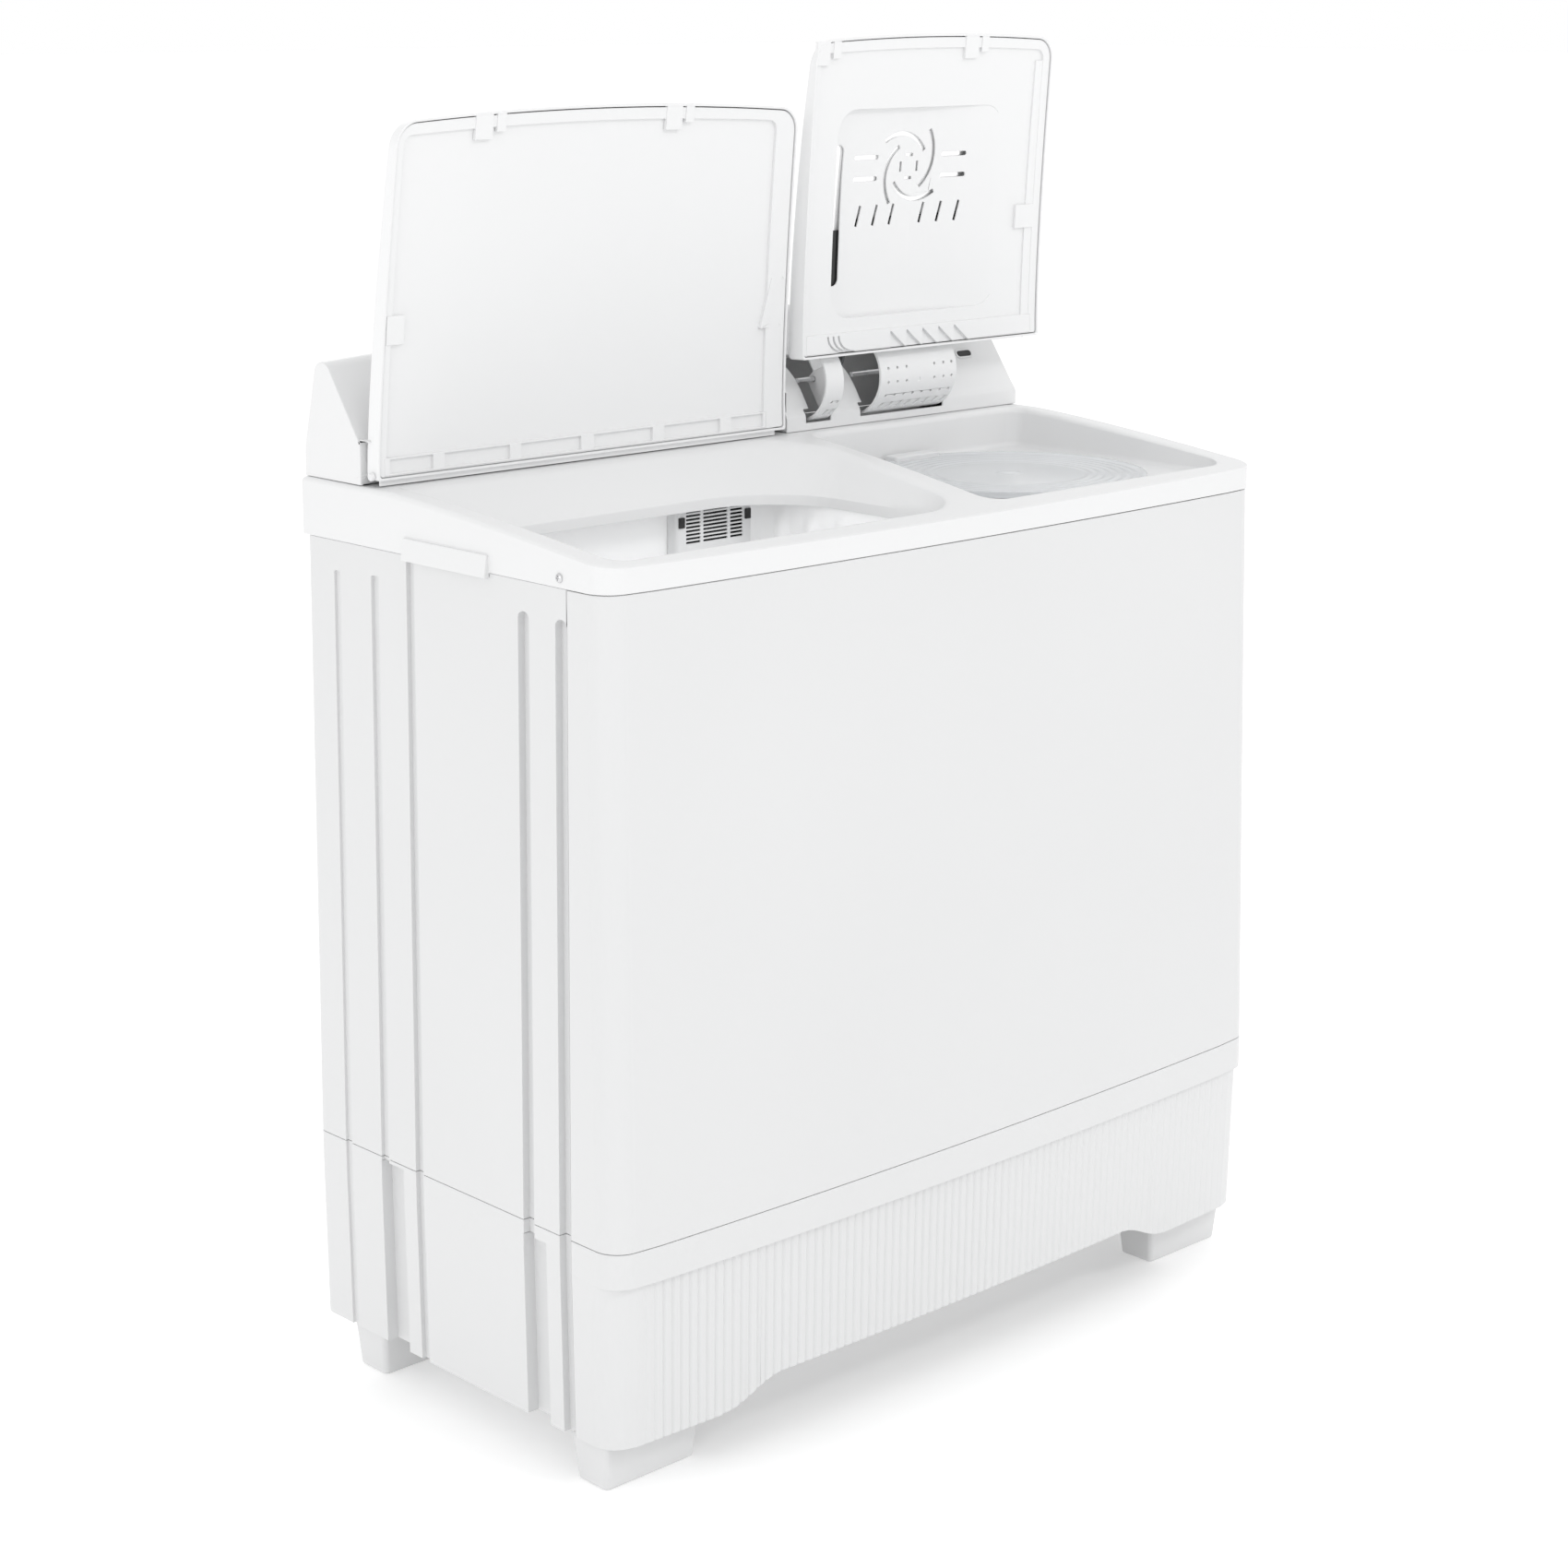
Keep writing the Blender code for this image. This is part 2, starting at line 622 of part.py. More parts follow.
def make_spin_tub():
    r, t, low, high = SPIN_TUB_R, WALL, SPIN_TUB_Z, SPIN_TUB_TOP_Z
    profile = [(0.024, low), (0.024, low + t), (r - t, low + t), (r - t, high), (r, high), (r, low)]
    finish(turned("spin_tub", profile, (SPIN_X, SPIN_Y), 24), "soft_white_plastic")


def make_pulsator(axis):
    top = WASH_TUB_Z + WALL + PULSATOR_LIFT
    profile = [(0, top + 0.030), (0.030, top + 0.028), (0.050, top + 0.014), (0.120, top + 0.008),
               (0.145, top + 0.010), (0.150, top + 0.004), (0.145, top), (0, top)]
    disc = turned("pulsator", profile, (WASH_X, WASH_Y), 24)
    fins = []
    for n in range(4):
        fin = block(f"fin_{n}", (FIN_REACH[0], -FIN_HALF, top + 0.003),
                    (FIN_REACH[1], FIN_HALF, top + 0.022))
        fin.matrix_world = Matrix.Translation((WASH_X, WASH_Y, 0)) @ Matrix.Rotation(
            math.radians(45 + 90 * n), 4, "Z")
        fins.append(bake(fin))
    disc = finish(join(disc, *fins), "soft_white_plastic")
    hang(disc, axis)
    shaft = rod("pulsator_shaft", (WASH_X, WASH_Y, 0.150), (WASH_X, WASH_Y, top - GAP), 0.007, 12)
    hang(finish(shaft, "bright_steel"), axis)
    pulley = turned("driven_pulley", [(0.0073, 0.160), (0.0073, 0.182), (0.080, 0.180),
                                      (0.088, 0.178), (0.080, 0.171), (0.088, 0.164),
                                      (0.080, 0.162)], (WASH_X, WASH_Y), 24)
    hang(finish(pulley, "grey_plastic"), axis)


def make_gearbox():
    profile = [(0.0115, 0.195), (0.0115, 0.3135), (0.030, 0.3135), (0.036, 0.285), (0.060, 0.270),
               (0.060, 0.215), (0.036, 0.195)]
    finish(turned("wash_gearbox", profile, (WASH_X, WASH_Y), 20), "cast_alloy")
    seal = turned("pulsator_seal", [(0.0078, 0.3145), (0.0078, 0.3205), (0.0150, 0.3205),
                                    (0.0150, 0.3145)], (WASH_X, WASH_Y), 16)
    finish(seal, "rubber")


def make_wash_motor():
    profile = [(0, 0.302), (0.050, 0.302), (0.062, 0.290), (0.062, 0.215), (0.050, 0.203),
               (0.012, 0.203), (0.012, 0.196), (0, 0.196)]
    finish(turned("wash_motor", profile, (MOTOR_X, MOTOR_Y), 20), "painted_steel")
    axis = pivot("motor_pulley_axis", (MOTOR_X, MOTOR_Y, 0.171))
    pulley = turned("motor_pulley", [(0, 0.195), (0.006, 0.195), (0.006, 0.182), (0.019, 0.180),
                                     (0.025, 0.178), (0.017, 0.171), (0.025, 0.164),
                                     (0.019, 0.162), (0, 0.162)], (MOTOR_X, MOTOR_Y), 20)
    hang(finish(pulley, "grey_plastic"), axis)


def make_drive_belt():
    """A loop round both pulleys, lying in their grooves with running clearance."""
    big, small = Vector((WASH_X, WASH_Y)), Vector((MOTOR_X, MOTOR_Y))
    line = small - big
    heading = math.degrees(math.atan2(line.y, line.x))
    wide, tight = BELT_R
    spread = math.degrees(math.acos((wide - tight) / line.length))

    def loop(extra):
        far = arc(small, tight + extra, heading - spread, heading + spread, 8)
        near = arc(big, wide + extra, heading + spread, heading + 360 - spread, 16)
        return far + near

    belt = slab("drive_belt", [loop(0.005), loop(0.0005)], 0.1700, 0.1720)
    finish(belt, "rubber")


def make_spin_drive(axis):
    centre = (SPIN_X, SPIN_Y)
    (low, high), r, t = BASKET_Z, BASKET_R, BASKET_SHEET
    profile = [(0, low + 0.030), (0.030, low + 0.028), (0.045, low + t), (r - 0.012 - t, low + t),
               (r - t, low + 0.012), (r - t, high - 0.014), (r - 0.012, high - 0.010),
               (r - 0.012, high), (r - 0.002, high), (r, high - 0.006), (r, low + 0.010),
               (r - 0.010, low), (0.043, low), (0.030, low + 0.024), (0, low + 0.026)]
    hang(finish(turned("spin_basket", profile, centre, 24), "bright_steel"), axis)
    shaft = rod("spin_shaft", (*centre, 0.290), (*centre, low + 0.0245), 0.008, 12)
    hang(finish(shaft, "bright_steel"), axis)
    drum = turned("brake_drum", [(0, 0.2895), (0.055, 0.2895), (0.055, 0.255), (0.050, 0.255),
                                 (0.050, 0.284), (0.012, 0.284), (0.012, 0.250), (0, 0.250)],
                  centre, 24)
    hang(finish(drum, "cast_alloy"), axis)
    seal = turned("spin_shaft_seal", [(0.009, 0.352), (0.009, 0.372), (0.018, 0.372),
                                      (0.0235, 0.3665), (0.0235, 0.352)], centre, 20)
    finish(seal, "rubber")


def make_spin_motor():
    centre = (SPIN_X, SPIN_Y)
    profile = [(0, 0.249), (0.010, 0.249), (0.010, 0.236), (0.055, 0.236), (0.070, 0.222),
               (0.070, 0.130), (0.055, 0.1165), (0, 0.1165)]
    finish(turned("spin_motor", profile, centre, 24), "painted_steel")
    plate = slab("spin_motor_plate", [arc(centre, 0.095, 0, 345, 23)], 0.1120, 0.1160)
    finish(plate, "painted_steel")
    for n, angle in enumerate((90, 210, 330)):
        x = SPIN_X + SPRING_CIRCLE * math.cos(math.radians(angle))
        y = SPIN_Y + SPRING_CIRCLE * math.sin(math.radians(angle))
        make_spring(f"suspension_spring_{n + 1}", x, y, 0.0550, 0.1090)


def make_spring(name, x, y, low, high):
    """An open coil; its wire stays clear of the plate above and the floor below."""
    turns, per_turn, wire, radius = SPRING_TURNS, 8, SPRING_WIRE, SPRING_R
    curve = bpy.data.curves.new(name, "CURVE")
    curve.dimensions = "3D"
    curve.bevel_depth = wire
    curve.bevel_resolution = 0
    curve.use_fill_caps = True
    spline = curve.splines.new("POLY")
    spline.points.add(turns * per_turn)
    for n, point in enumerate(spline.points):
        angle = 2 * math.pi * n / per_turn
        z = low + (high - low) * n / (turns * per_turn)
        point.co = (radius * math.cos(angle), radius * math.sin(angle), z, 1)
    piece = bpy.data.objects.new(name, curve)
    CUTTERS.objects.link(piece)
    piece.location = (x, y, 0)
    finish(bake(piece), "bright_steel")


def make_plumbing():
    x, y = WASH_X + DRAIN_OFFSET, WASH_Y
    valve = turned("drain_valve", [(0, 0.3145), (0.017, 0.3145), (0.017, 0.300), (0.026, 0.296),
                                   (0.026, 0.250), (0, 0.250)], (x, y), 16)
    finish(valve, "grey_plastic")
    x, z, radius = DRAIN_OUTLET
    spigot = rod("drain_outlet", (x, REAR_Y - 0.060, z), (x, REAR_Y, z), radius, 16)
    bore = rod("bore", (x, REAR_Y - 0.070, z), (x, REAR_Y + 0.01, z), radius - 0.003, 16)
    finish(cut(spigot, bore), "grey_plastic")


def make_electrics():
    finish(block("motor_capacitor", (0.02, 0.17, 0.060), (0.09, 0.21, 0.100)), "grey_plastic")
    finish(block("lid_switch", (0.352, 0.165, 0.9260), (0.372, 0.190, 0.945)), "black_plastic")


# Control panel

def panel_outline(inset=0.0):
    """Side view of the control panel, as (y, z), from its front foot round to its rear foot."""
    low = FRAME_TOP_Z + GAP if inset == 0 else FRAME_TOP_Z - 0.02
    top = PANEL_TOP_Z - inset
    nose = arc((NOSE_CENTRE_Y, top - NOSE_R), NOSE_R - inset / 2, 142, 30, 5)
    front = PANEL_FRONT_Y + inset
    return [(front, low), (front, 0.940), (front + 0.006, 0.949), *nose,
            (0.2395 - inset, low + 0.03), (0.2405 - inset, low)]


def crowned(x, y, z):
    """The panel's top edge rises from its ends to its middle."""
    lift = PANEL_CROWN * (1 - (x / HALF_WIDTH) ** 2)
    rise = (z - PANEL_CROWN_FROM_Z) / (PANEL_TOP_Z - PANEL_CROWN_FROM_Z)
    return x, y, z + lift * max(0.0, rise)


def make_control_panel():
    half = HALF_WIDTH - 0.002
    steps = [half * n / 4 for n in range(-3, 4)]
    outer = slab("control_panel", [panel_outline()], -half, half)
    outer = reshape(outer, lambda u, v, w: (w, u, v))
    outer = reshape(slice_across(outer, 0, steps), crowned)
    room = slab("room", [panel_outline(WALL)], -half + WALL, half - WALL)
    room = reshape(room, lambda u, v, w: (w, u, v))
    room = reshape(slice_across(room, 0, steps), crowned)
    panel = cut(outer, room)
    lid_room = block("lid_room", *LID_ROOM)
    slots = []
    for name, reach in (("narrow_slot", NARROW_ARM_X), ("wide_slot", WIDE_ARM_X)):
        slots.append(block(name, (reach[0] - ARM_SLOT_SLACK[0], 0.12, 0.92),
                           (reach[1] + ARM_SLOT_SLACK[1], 0.205, ARM_SLOT_TOP_Z)))
    panel = cut(panel, lid_room, *slots)
    for name, x, z, radius in SPIGOTS:
        panel = cut(panel, rod("hole", (x, 0.200, z), (x, 0.26, z), radius + 0.0005, 16))
    along = (Vector(FACE_HIGH) - Vector(FACE_LOW)).normalized()
    out = Vector((0, -along.y, along.x))
    for name, x, radius in KNOBS:
        middle = knob_middle(x)
        panel = cut(panel, rod("shaft_hole", middle - out * 0.02, middle + out * 0.02, KNOB_HOLE_R, 12))
    finish(panel, "white_plastic")
    make_knobs(out)


def knob_middle(x):
    """Where a knob's axis meets the control face, near its top."""
    low, high = Vector((0, *FACE_LOW)), Vector((0, *FACE_HIGH))
    place = low.lerp(high, KNOB_HEIGHT)
    return Vector(crowned(x, place.y, place.z))


def make_knobs(out):
    for name, x, radius in KNOBS:
        middle = knob_middle(x)
        start = middle + out * KNOB_GAP
        knob = rod(name, start, start + out * KNOB_TALL, radius, 24, radius * 0.9)
        half, foot, top = GRIP_BAR
        grip = block("grip", (-half, -radius * 0.84, foot), (half, radius * 0.84, top))
        grip.matrix_world = (Matrix.Translation(start)
                             @ Vector((0, 0, 1)).rotation_difference(out).to_matrix().to_4x4())
        knob = join(knob, bake(grip))
        stem = rod("stem", start + out * 0.003, middle - out * 0.016, KNOB_STEM_R, 10)
        knob = finish(join(knob, stem), "soft_white_plastic")
        hang(knob, pivot(f"{name}_axis", middle))
    for name, x in TIMERS:
        middle = knob_middle(x)
        box = block(name, (-0.022, -0.016, -0.036), (0.022, 0.016, -0.0175))
        box.matrix_world = (Matrix.Translation(middle)
                            @ Vector((0, 0, 1)).rotation_difference(out).to_matrix().to_4x4())
        finish(bake(box), "grey_plastic")


def make_status_window():
    low, high = Vector((0, *FACE_LOW)), Vector((0, *FACE_HIGH))
    along = (high - low).normalized()
    out = Vector((0, -along.z, along.y))
    middle = low.lerp(high, WINDOW_HEIGHT)
    middle.x = WINDOW_X
    wide, tall = WINDOW_HALF
    outline = rounded_box(-wide, wide, -tall, tall, (tall - 0.0001,) * 4, 4)
    window = slab("status_window", [outline], 0.0030, 0.0042)
    window.matrix_world = (Matrix.Translation(middle)
                           @ Vector((0, 0, 1)).rotation_difference(out).to_matrix().to_4x4())
    finish(bake(window), "black_plastic")


def make_spigots():
    for name, x, z, radius in SPIGOTS:
        pipe = rod(name, (x, 0.205, z), (x, REAR_Y - 0.001, z), radius, 16)
        bore = rod("bore", (x, 0.20, z), (x, REAR_Y + 0.01, z), radius * 0.7, 16)
        finish(cut(pipe, bore), "grey_plastic")


# Lids, drawn closed and then turned open about their hinges

def lid_outline(x0, x1, rear, front, bow, taper, inset=0.0, corner=0.024):
    """Seen from above when closed: the front edge bows forward and the sides draw in."""
    outline = rounded_box(x0 + inset, x1 - inset, front + inset, rear - inset,
                          (corner - inset, corner - inset, 0.004, 0.004), 5)
    middle, half, length = (x0 + x1) / 2, (x1 - x0) / 2, rear - front
    shaped = []
    for n, (x, y) in enumerate(outline):
        shaped.append((x, y))
        if n == 5:
            run = x1 - x0 - 2 * corner
            shaped += [(x + run * k / 8, y) for k in range(1, 8)]
    bent = []
    for x, y in shaped:
        ahead = (rear - y) / length
        side = (x - middle) / half
        bent.append((x - taper * side * ahead, y - bow * (1 - side ** 2) * max(0.0, ahead) ** 4))
    return bent


def lid_block(name, outline, low, high, top_of=None):
    piece = slab(name, [outline], low, high)
    ys = [y for x, y in outline]
    first, last = min(ys), max(ys)
    piece = slice_across(piece, 1, [first + (last - first) * n / 8 for n in range(1, 8)])
    if top_of:
        middle = (low + high) / 2
        reshape(piece, lambda x, y, z: (x, y, top_of(y) if z > middle else z))
    return piece


def follow_deck(x, y, z):
    return x, y, deck_height(y) + LID_CLEAR + z


def open_lid(piece, axis, angle, kind, empty):
    """Bends a closed lid piece along the deck, then swings it open."""
    reshape(piece, follow_deck)
    place = Vector((0, *axis))
    swing = Matrix.Translation(place) @ Matrix.Rotation(-angle, 4, "X") @ Matrix.Translation(-place)
    piece.data.transform(swing)
    hang(finish(piece, kind), empty)


def tapering(rear, front, thick, edge):
    def height(y):
        ahead = min(1.0, max(0.0, (rear - y) / (rear - front)))
        return thick - (thick - edge) * ahead ** 2.2
    return height


def make_wash_lid():
    x0, x1 = WASH_LID_X
    rear, front = WASH_AXIS[0] - WASH_LID_REACH[0], WASH_AXIS[0] - WASH_LID_REACH[1]
    shape = (x0, x1, rear, front, WASH_LID_BOW, WASH_LID_TAPER)
    top = tapering(rear, front, WASH_LID_THICK, WASH_LID_EDGE)
    under = tapering(rear, front, WASH_LID_THICK - LID_SKIN, WASH_LID_EDGE - LID_SKIN)
    axis = pivot("wash_lid_axis", (0, *WASH_AXIS))
    shell = lid_block("wash_lid", lid_outline(*shape), 0, WASH_LID_THICK, top)
    room = lid_block("room", lid_outline(*shape, LID_SKIN), -0.001, WASH_LID_THICK - LID_SKIN, under)
    open_lid(cut(shell, room), WASH_AXIS, WASH_LID_OPEN, "white_plastic", axis)
    liner_top, tray_top = WASH_LINER
    liner = lid_block("wash_lid_liner", lid_outline(*shape, LID_SKIN + LINER_SLACK), 0.0005, liner_top)
    tray = lid_block("tray", lid_outline(*shape, LID_SKIN + TRAY_INSET), -0.001, tray_top)
    open_lid(cut(liner, tray), WASH_AXIS, WASH_LID_OPEN, "white_plastic", axis)


def make_spin_lid():
    x0, x1 = SPIN_LID_X
    rear, front = SPIN_AXIS[0] - SPIN_LID_REACH[0], SPIN_AXIS[0] - SPIN_LID_REACH[1]
    shape = (x0, x1, rear, front, SPIN_LID_BOW, SPIN_LID_TAPER)
    top = tapering(rear, front, SPIN_LID_THICK, SPIN_LID_EDGE)
    under = tapering(rear, front, SPIN_LID_THICK - LID_SKIN, SPIN_LID_EDGE - LID_SKIN)
    axis = pivot("spin_lid_axis", (0, *SPIN_AXIS))
    shell = lid_block("spin_lid", lid_outline(*shape), 0, SPIN_LID_THICK, top)
    room = lid_block("room", lid_outline(*shape, LID_SKIN), -0.001, SPIN_LID_THICK - LID_SKIN, under)
    open_lid(cut(shell, room), SPIN_AXIS, SPIN_LID_OPEN, "white_plastic", axis)
    liner_top, tray_top = SPIN_LINER
    liner = lid_block("spin_lid_liner", lid_outline(*shape, LID_SKIN + LINER_SLACK), 0.0005, liner_top)
    tray = lid_block("tray", lid_outline(*shape, LID_SKIN + TRAY_INSET), -0.001, tray_top)
    open_lid(cut(liner, tray), SPIN_AXIS, SPIN_LID_OPEN, "white_plastic", axis)
    make_arm("wide_hinge_arm", WIDE_ARM_X, axis)
    make_arm("narrow_hinge_arm", NARROW_ARM_X, axis)
    for name, (low, high) in (("narrow_hinge_rod", NARROW_ARM_X), ("wide_hinge_rod", WIDE_ARM_X)):
        bar = rod(name, (low - 0.002, *SPIN_AXIS), (high + 0.002, *SPIN_AXIS), HINGE_ROD_R, 12)
        hang(finish(bar, "bright_steel"), axis)


def make_arm(name, reach, empty):
    """A curved strap round the hinge axis, with a web at each end that holds the rod."""
    x0, x1 = reach
    first, last = ARM_SWEEP
    strap = arc(SPIN_AXIS, ARM_R, first, last, 10) + arc(SPIN_AXIS, ARM_R - WALL, last, first, 10)
    web = [(SPIN_AXIS[0], SPIN_AXIS[1] + 0.009), *arc(SPIN_AXIS, ARM_R - 0.001, first + 2, last - 2, 8),
           (SPIN_AXIS[0] + 0.006, SPIN_AXIS[1] - 0.009), (SPIN_AXIS[0] + 0.010, SPIN_AXIS[1])]
    piece = reshape(slab(name, [strap], x0, x1), lambda u, v, w: (w, u, v))
    for n, (low, high) in enumerate(((x0, x0 + WALL), (x1 - WALL, x1))):
        end = reshape(slab(f"web_{n}", [web], low, high), lambda u, v, w: (w, u, v))
        piece = join(piece, end)
    bore = rod("bore", (x0 - 0.01, *SPIN_AXIS), (x1 + 0.01, *SPIN_AXIS), ARM_BORE_R, 12)
    piece = cut(piece, bore)
    hang(finish(piece, "white_plastic"), empty)


def make_lid_pins():
    empty = bpy.data.objects["wash_lid_axis"]
    for name, x in (("left_lid_pin", WASH_LID_X[0]), ("right_lid_pin", WASH_LID_X[1])):
        outward = -1 if x < 0 else 1
        low, high = sorted((x + outward * 0.0003, x + outward * 0.0040))
        pin = rod(name, (low, *WASH_AXIS), (high, *WASH_AXIS), LID_PIN_R, 12)
        hang(finish(pin, "white_plastic"), empty)


def make_inner_cover():
    low = WELL_FLOOR_Z + GAP
    y, z = INNER_COVER_AXIS
    profile = [(0, low + 0.004), (INNER_COVER_R - 0.006, low + 0.004),
               (INNER_COVER_R - 0.002, low + 0.0065), (INNER_COVER_R, low + 0.0065),
               (INNER_COVER_R, low), (0, low)]
    cover = turned("spin_inner_cover", profile, (SPIN_X, SPIN_Y), 32)
    lug = block("lug", (SPIN_X - 0.035, y - 0.016, low + 0.001), (SPIN_X + 0.035, y + 0.004, z + 0.003))
    tab = block("tab", (SPIN_X - 0.012, SPIN_Y - INNER_COVER_R - 0.003, low + 0.001),
                (SPIN_X + 0.012, SPIN_Y - INNER_COVER_R + 0.012, low + 0.0075))
    empty = pivot("inner_cover_axis", (SPIN_X, y, z))
    hang(finish(join(cover, lug, tab), "soft_white_plastic"), empty)


def make_lint_filter():
    """A grille on the rear wall of the wash tub that tips forward about its foot."""
    x0, x1, y0, y1 = LINT_FILTER
    low, high = LINT_FILTER_Z
    cover = block("lint_filter", (x0, y0, low), (x1, y1 - GAP, high - 0.012))
    room = block("room", (x0 + 0.003, y0 + 0.003, low - 0.01), (x1 - 0.003, y1 + 0.01, high - 0.016))
    cover = cut(cover, room)
    slots = []
    for n in range(8):
        z = 0.790 + 0.0075 * n
        slots.append(block(f"slot_{n}", (-0.072, y0 - 0.01, z), (-0.018, y0 + 0.012, z + 0.004)))
    empty = pivot("lint_filter_axis", ((x0 + x1) / 2, y1 - 0.003, low))
    hang(finish(cut(cover, *slots), "soft_white_plastic"), empty)


def main():
    make_cabinet_shell()
    make_rear_cover()
    make_front_panel()
    make_base_frame()
    make_base_skirt()
    make_feet()
    make_top_frame()
    make_frame_screws()
    make_wash_tub()
    make_spin_tub()
    make_pulsator(pivot("pulsator_axis", (WASH_X, WASH_Y, 0.171)))
    make_gearbox()
    make_wash_motor()
    make_drive_belt()
    make_spin_drive(pivot("spin_axis", (SPIN_X, SPIN_Y, 0.290)))
    make_spin_motor()
    make_plumbing()
    make_electrics()
    make_control_panel()
    make_status_window()
    make_spigots()
    make_wash_lid()
    make_lid_pins()
    make_spin_lid()
    make_inner_cover()
    make_lint_filter()


main()
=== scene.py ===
import json
import math

import bmesh
import bpy
from mathutils import Matrix, Vector


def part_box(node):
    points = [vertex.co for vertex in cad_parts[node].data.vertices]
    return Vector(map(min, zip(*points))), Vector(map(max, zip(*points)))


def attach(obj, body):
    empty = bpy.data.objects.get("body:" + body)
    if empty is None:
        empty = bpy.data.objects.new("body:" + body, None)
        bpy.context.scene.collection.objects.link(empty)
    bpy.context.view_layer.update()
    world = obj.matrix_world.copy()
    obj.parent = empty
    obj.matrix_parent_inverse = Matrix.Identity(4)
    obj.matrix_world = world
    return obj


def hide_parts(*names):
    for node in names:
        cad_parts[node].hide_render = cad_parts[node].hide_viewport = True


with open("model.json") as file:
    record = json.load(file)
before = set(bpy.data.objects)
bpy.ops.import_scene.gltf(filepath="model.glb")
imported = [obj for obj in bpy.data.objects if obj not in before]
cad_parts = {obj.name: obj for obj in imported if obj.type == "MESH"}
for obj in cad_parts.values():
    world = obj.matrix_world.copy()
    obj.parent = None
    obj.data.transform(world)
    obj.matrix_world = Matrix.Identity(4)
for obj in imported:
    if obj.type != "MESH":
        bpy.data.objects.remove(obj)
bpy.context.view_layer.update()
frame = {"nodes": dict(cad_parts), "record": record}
nodes = frame["nodes"]
bodyOf = {node: body for body, held in frame["record"]["behaviour"]["bodies"].items() for node in held}
print("frame loaded:", len(nodes), "nodes")


# mesh tools; every piece keeps its points where they are in the machine

def pieceFrom(name, bm):
    bmesh.ops.remove_doubles(bm, verts=bm.verts, dist=0.00001)
    bmesh.ops.recalc_face_normals(bm, faces=bm.faces)
    mesh = bpy.data.meshes.new(name)
    bm.to_mesh(mesh)
    bm.free()
    piece = bpy.data.objects.new(name, mesh)
    bpy.context.scene.collection.objects.link(piece)
    return piece


def loft(name, rings, capped=True):
    # rings of the same count, from the foot up
    bm = bmesh.new()
    rows = [[bm.verts.new(point) for point in ring] for ring in rings]
    for low, high in zip(rows, rows[1:]):
        for n in range(len(low)):
            m = (n + 1) % len(low)
            bm.faces.new((low[n], low[m], high[m], high[n]))
    if capped:
        bm.faces.new(rows[0])
        bm.faces.new(rows[-1])
    return pieceFrom(name, bm)


def prism(name, outline, low, high):
    return loft(name, [[(x, y, z) for x, y in outline] for z in (low, high)])


def sidePrism(name, outline, x0, x1):
    # the outline is (y, z), and it reaches from x0 to x1
    return loft(name, [[(x, y, z) for y, z in outline] for x in (x0, x1)])


def frontPrism(name, outline, y0, y1):
    # the outline is (x, z), and it reaches from y0 to y1
    return loft(name, [[(x, y, z) for x, z in outline] for y in (y0, y1)])


def block(name, low, high):
    (x0, y0, z0), (x1, y1, z1) = low, high
    return prism(name, [(x0, y0), (x1, y0), (x1, y1), (x0, y1)], z0, z1)


def circle(centre, radius, count):
    angles = [2 * math.pi * n / count for n in range(count)]
    return [(centre[0] + radius * math.cos(a), centre[1] + radius * math.sin(a)) for a in angles]


def quarter(steps):
    # angles over a quarter turn, for round edges
    return [math.pi / 2 * n / steps for n in range(steps + 1)]


def turned(name, profile, centre, steps=64):
    # (radius, z) from the foot round to the foot again; one that starts at radius 0 is closed there
    rings = [[(x, y, z) for x, y in circle(centre, r, steps)] for r, z in profile]
    if profile[0][0] > 0:
        rings.append(rings[0])
    return loft(name, rings, capped=False)


def rod(name, start, end, radius, sides=24, tip=None):
    start, end = Vector(start), Vector(end)
    bm = bmesh.new()
    bmesh.ops.create_cone(bm, cap_ends=True, segments=sides, radius1=radius,
                          radius2=radius if tip is None else tip, depth=(end - start).length)
    turn = Vector((0, 0, 1)).rotation_difference(end - start).to_matrix().to_4x4()
    bmesh.ops.transform(bm, matrix=Matrix.Translation((start + end) / 2) @ turn, verts=bm.verts)
    return pieceFrom(name, bm)


def pegs(centre, rows, low, high, radius):
    # upright round cutters in rings; a row is its radius and how many stand in it
    return [rod("peg", (x, y, low), (x, y, high), radius, 12)
            for reach, count in rows for x, y in circle(centre, reach, count)]


def aimed(piece, middle, out):
    # moves a piece made at the origin to its middle, with its top facing out
    turn = Vector((0, 0, 1)).rotation_difference(Vector(out)).to_matrix().to_4x4()
    piece.data.transform(Matrix.Translation(middle) @ turn)
    return piece


def onSide(side, near, far):
    # the lower and higher x of a span on the left, -1, or on the right, 1
    return sorted((side * near, side * far))


def applied(piece):
    bpy.context.view_layer.update()
    graph = bpy.context.evaluated_depsgraph_get()
    mesh = bpy.data.meshes.new_from_object(piece.evaluated_get(graph))
    piece.modifiers.clear()
    old, piece.data = piece.data, mesh
    bpy.data.meshes.remove(old)
    return piece


def gather(pieces):
    # one object from several, without joining their surfaces
    first, *rest = pieces
    bm = bmesh.new()
    for piece in pieces:
        bm.from_mesh(piece.data)
    bm.to_mesh(first.data)
    bm.free()
    for piece in rest:
        bpy.data.objects.remove(piece, do_unlink=True)
    return first


def combine(piece, others, operation):
    for other in others:
        step = piece.modifiers.new("step", "BOOLEAN")
        step.operation = operation
        step.object = other
    applied(piece)
    for other in others:
        bpy.data.objects.remove(other, do_unlink=True)
    return piece


def cut(piece, *cutters):
    return combine(piece, cutters, "DIFFERENCE")


def cutAll(piece, cutters):
    # for cutters that don't touch each other
    return cut(piece, gather(cutters))


def join(piece, *others):
    return combine(piece, others, "UNION")


def reshape(piece, move):
    for vertex in piece.data.vertices:
        vertex.co = move(*vertex.co)
    return piece


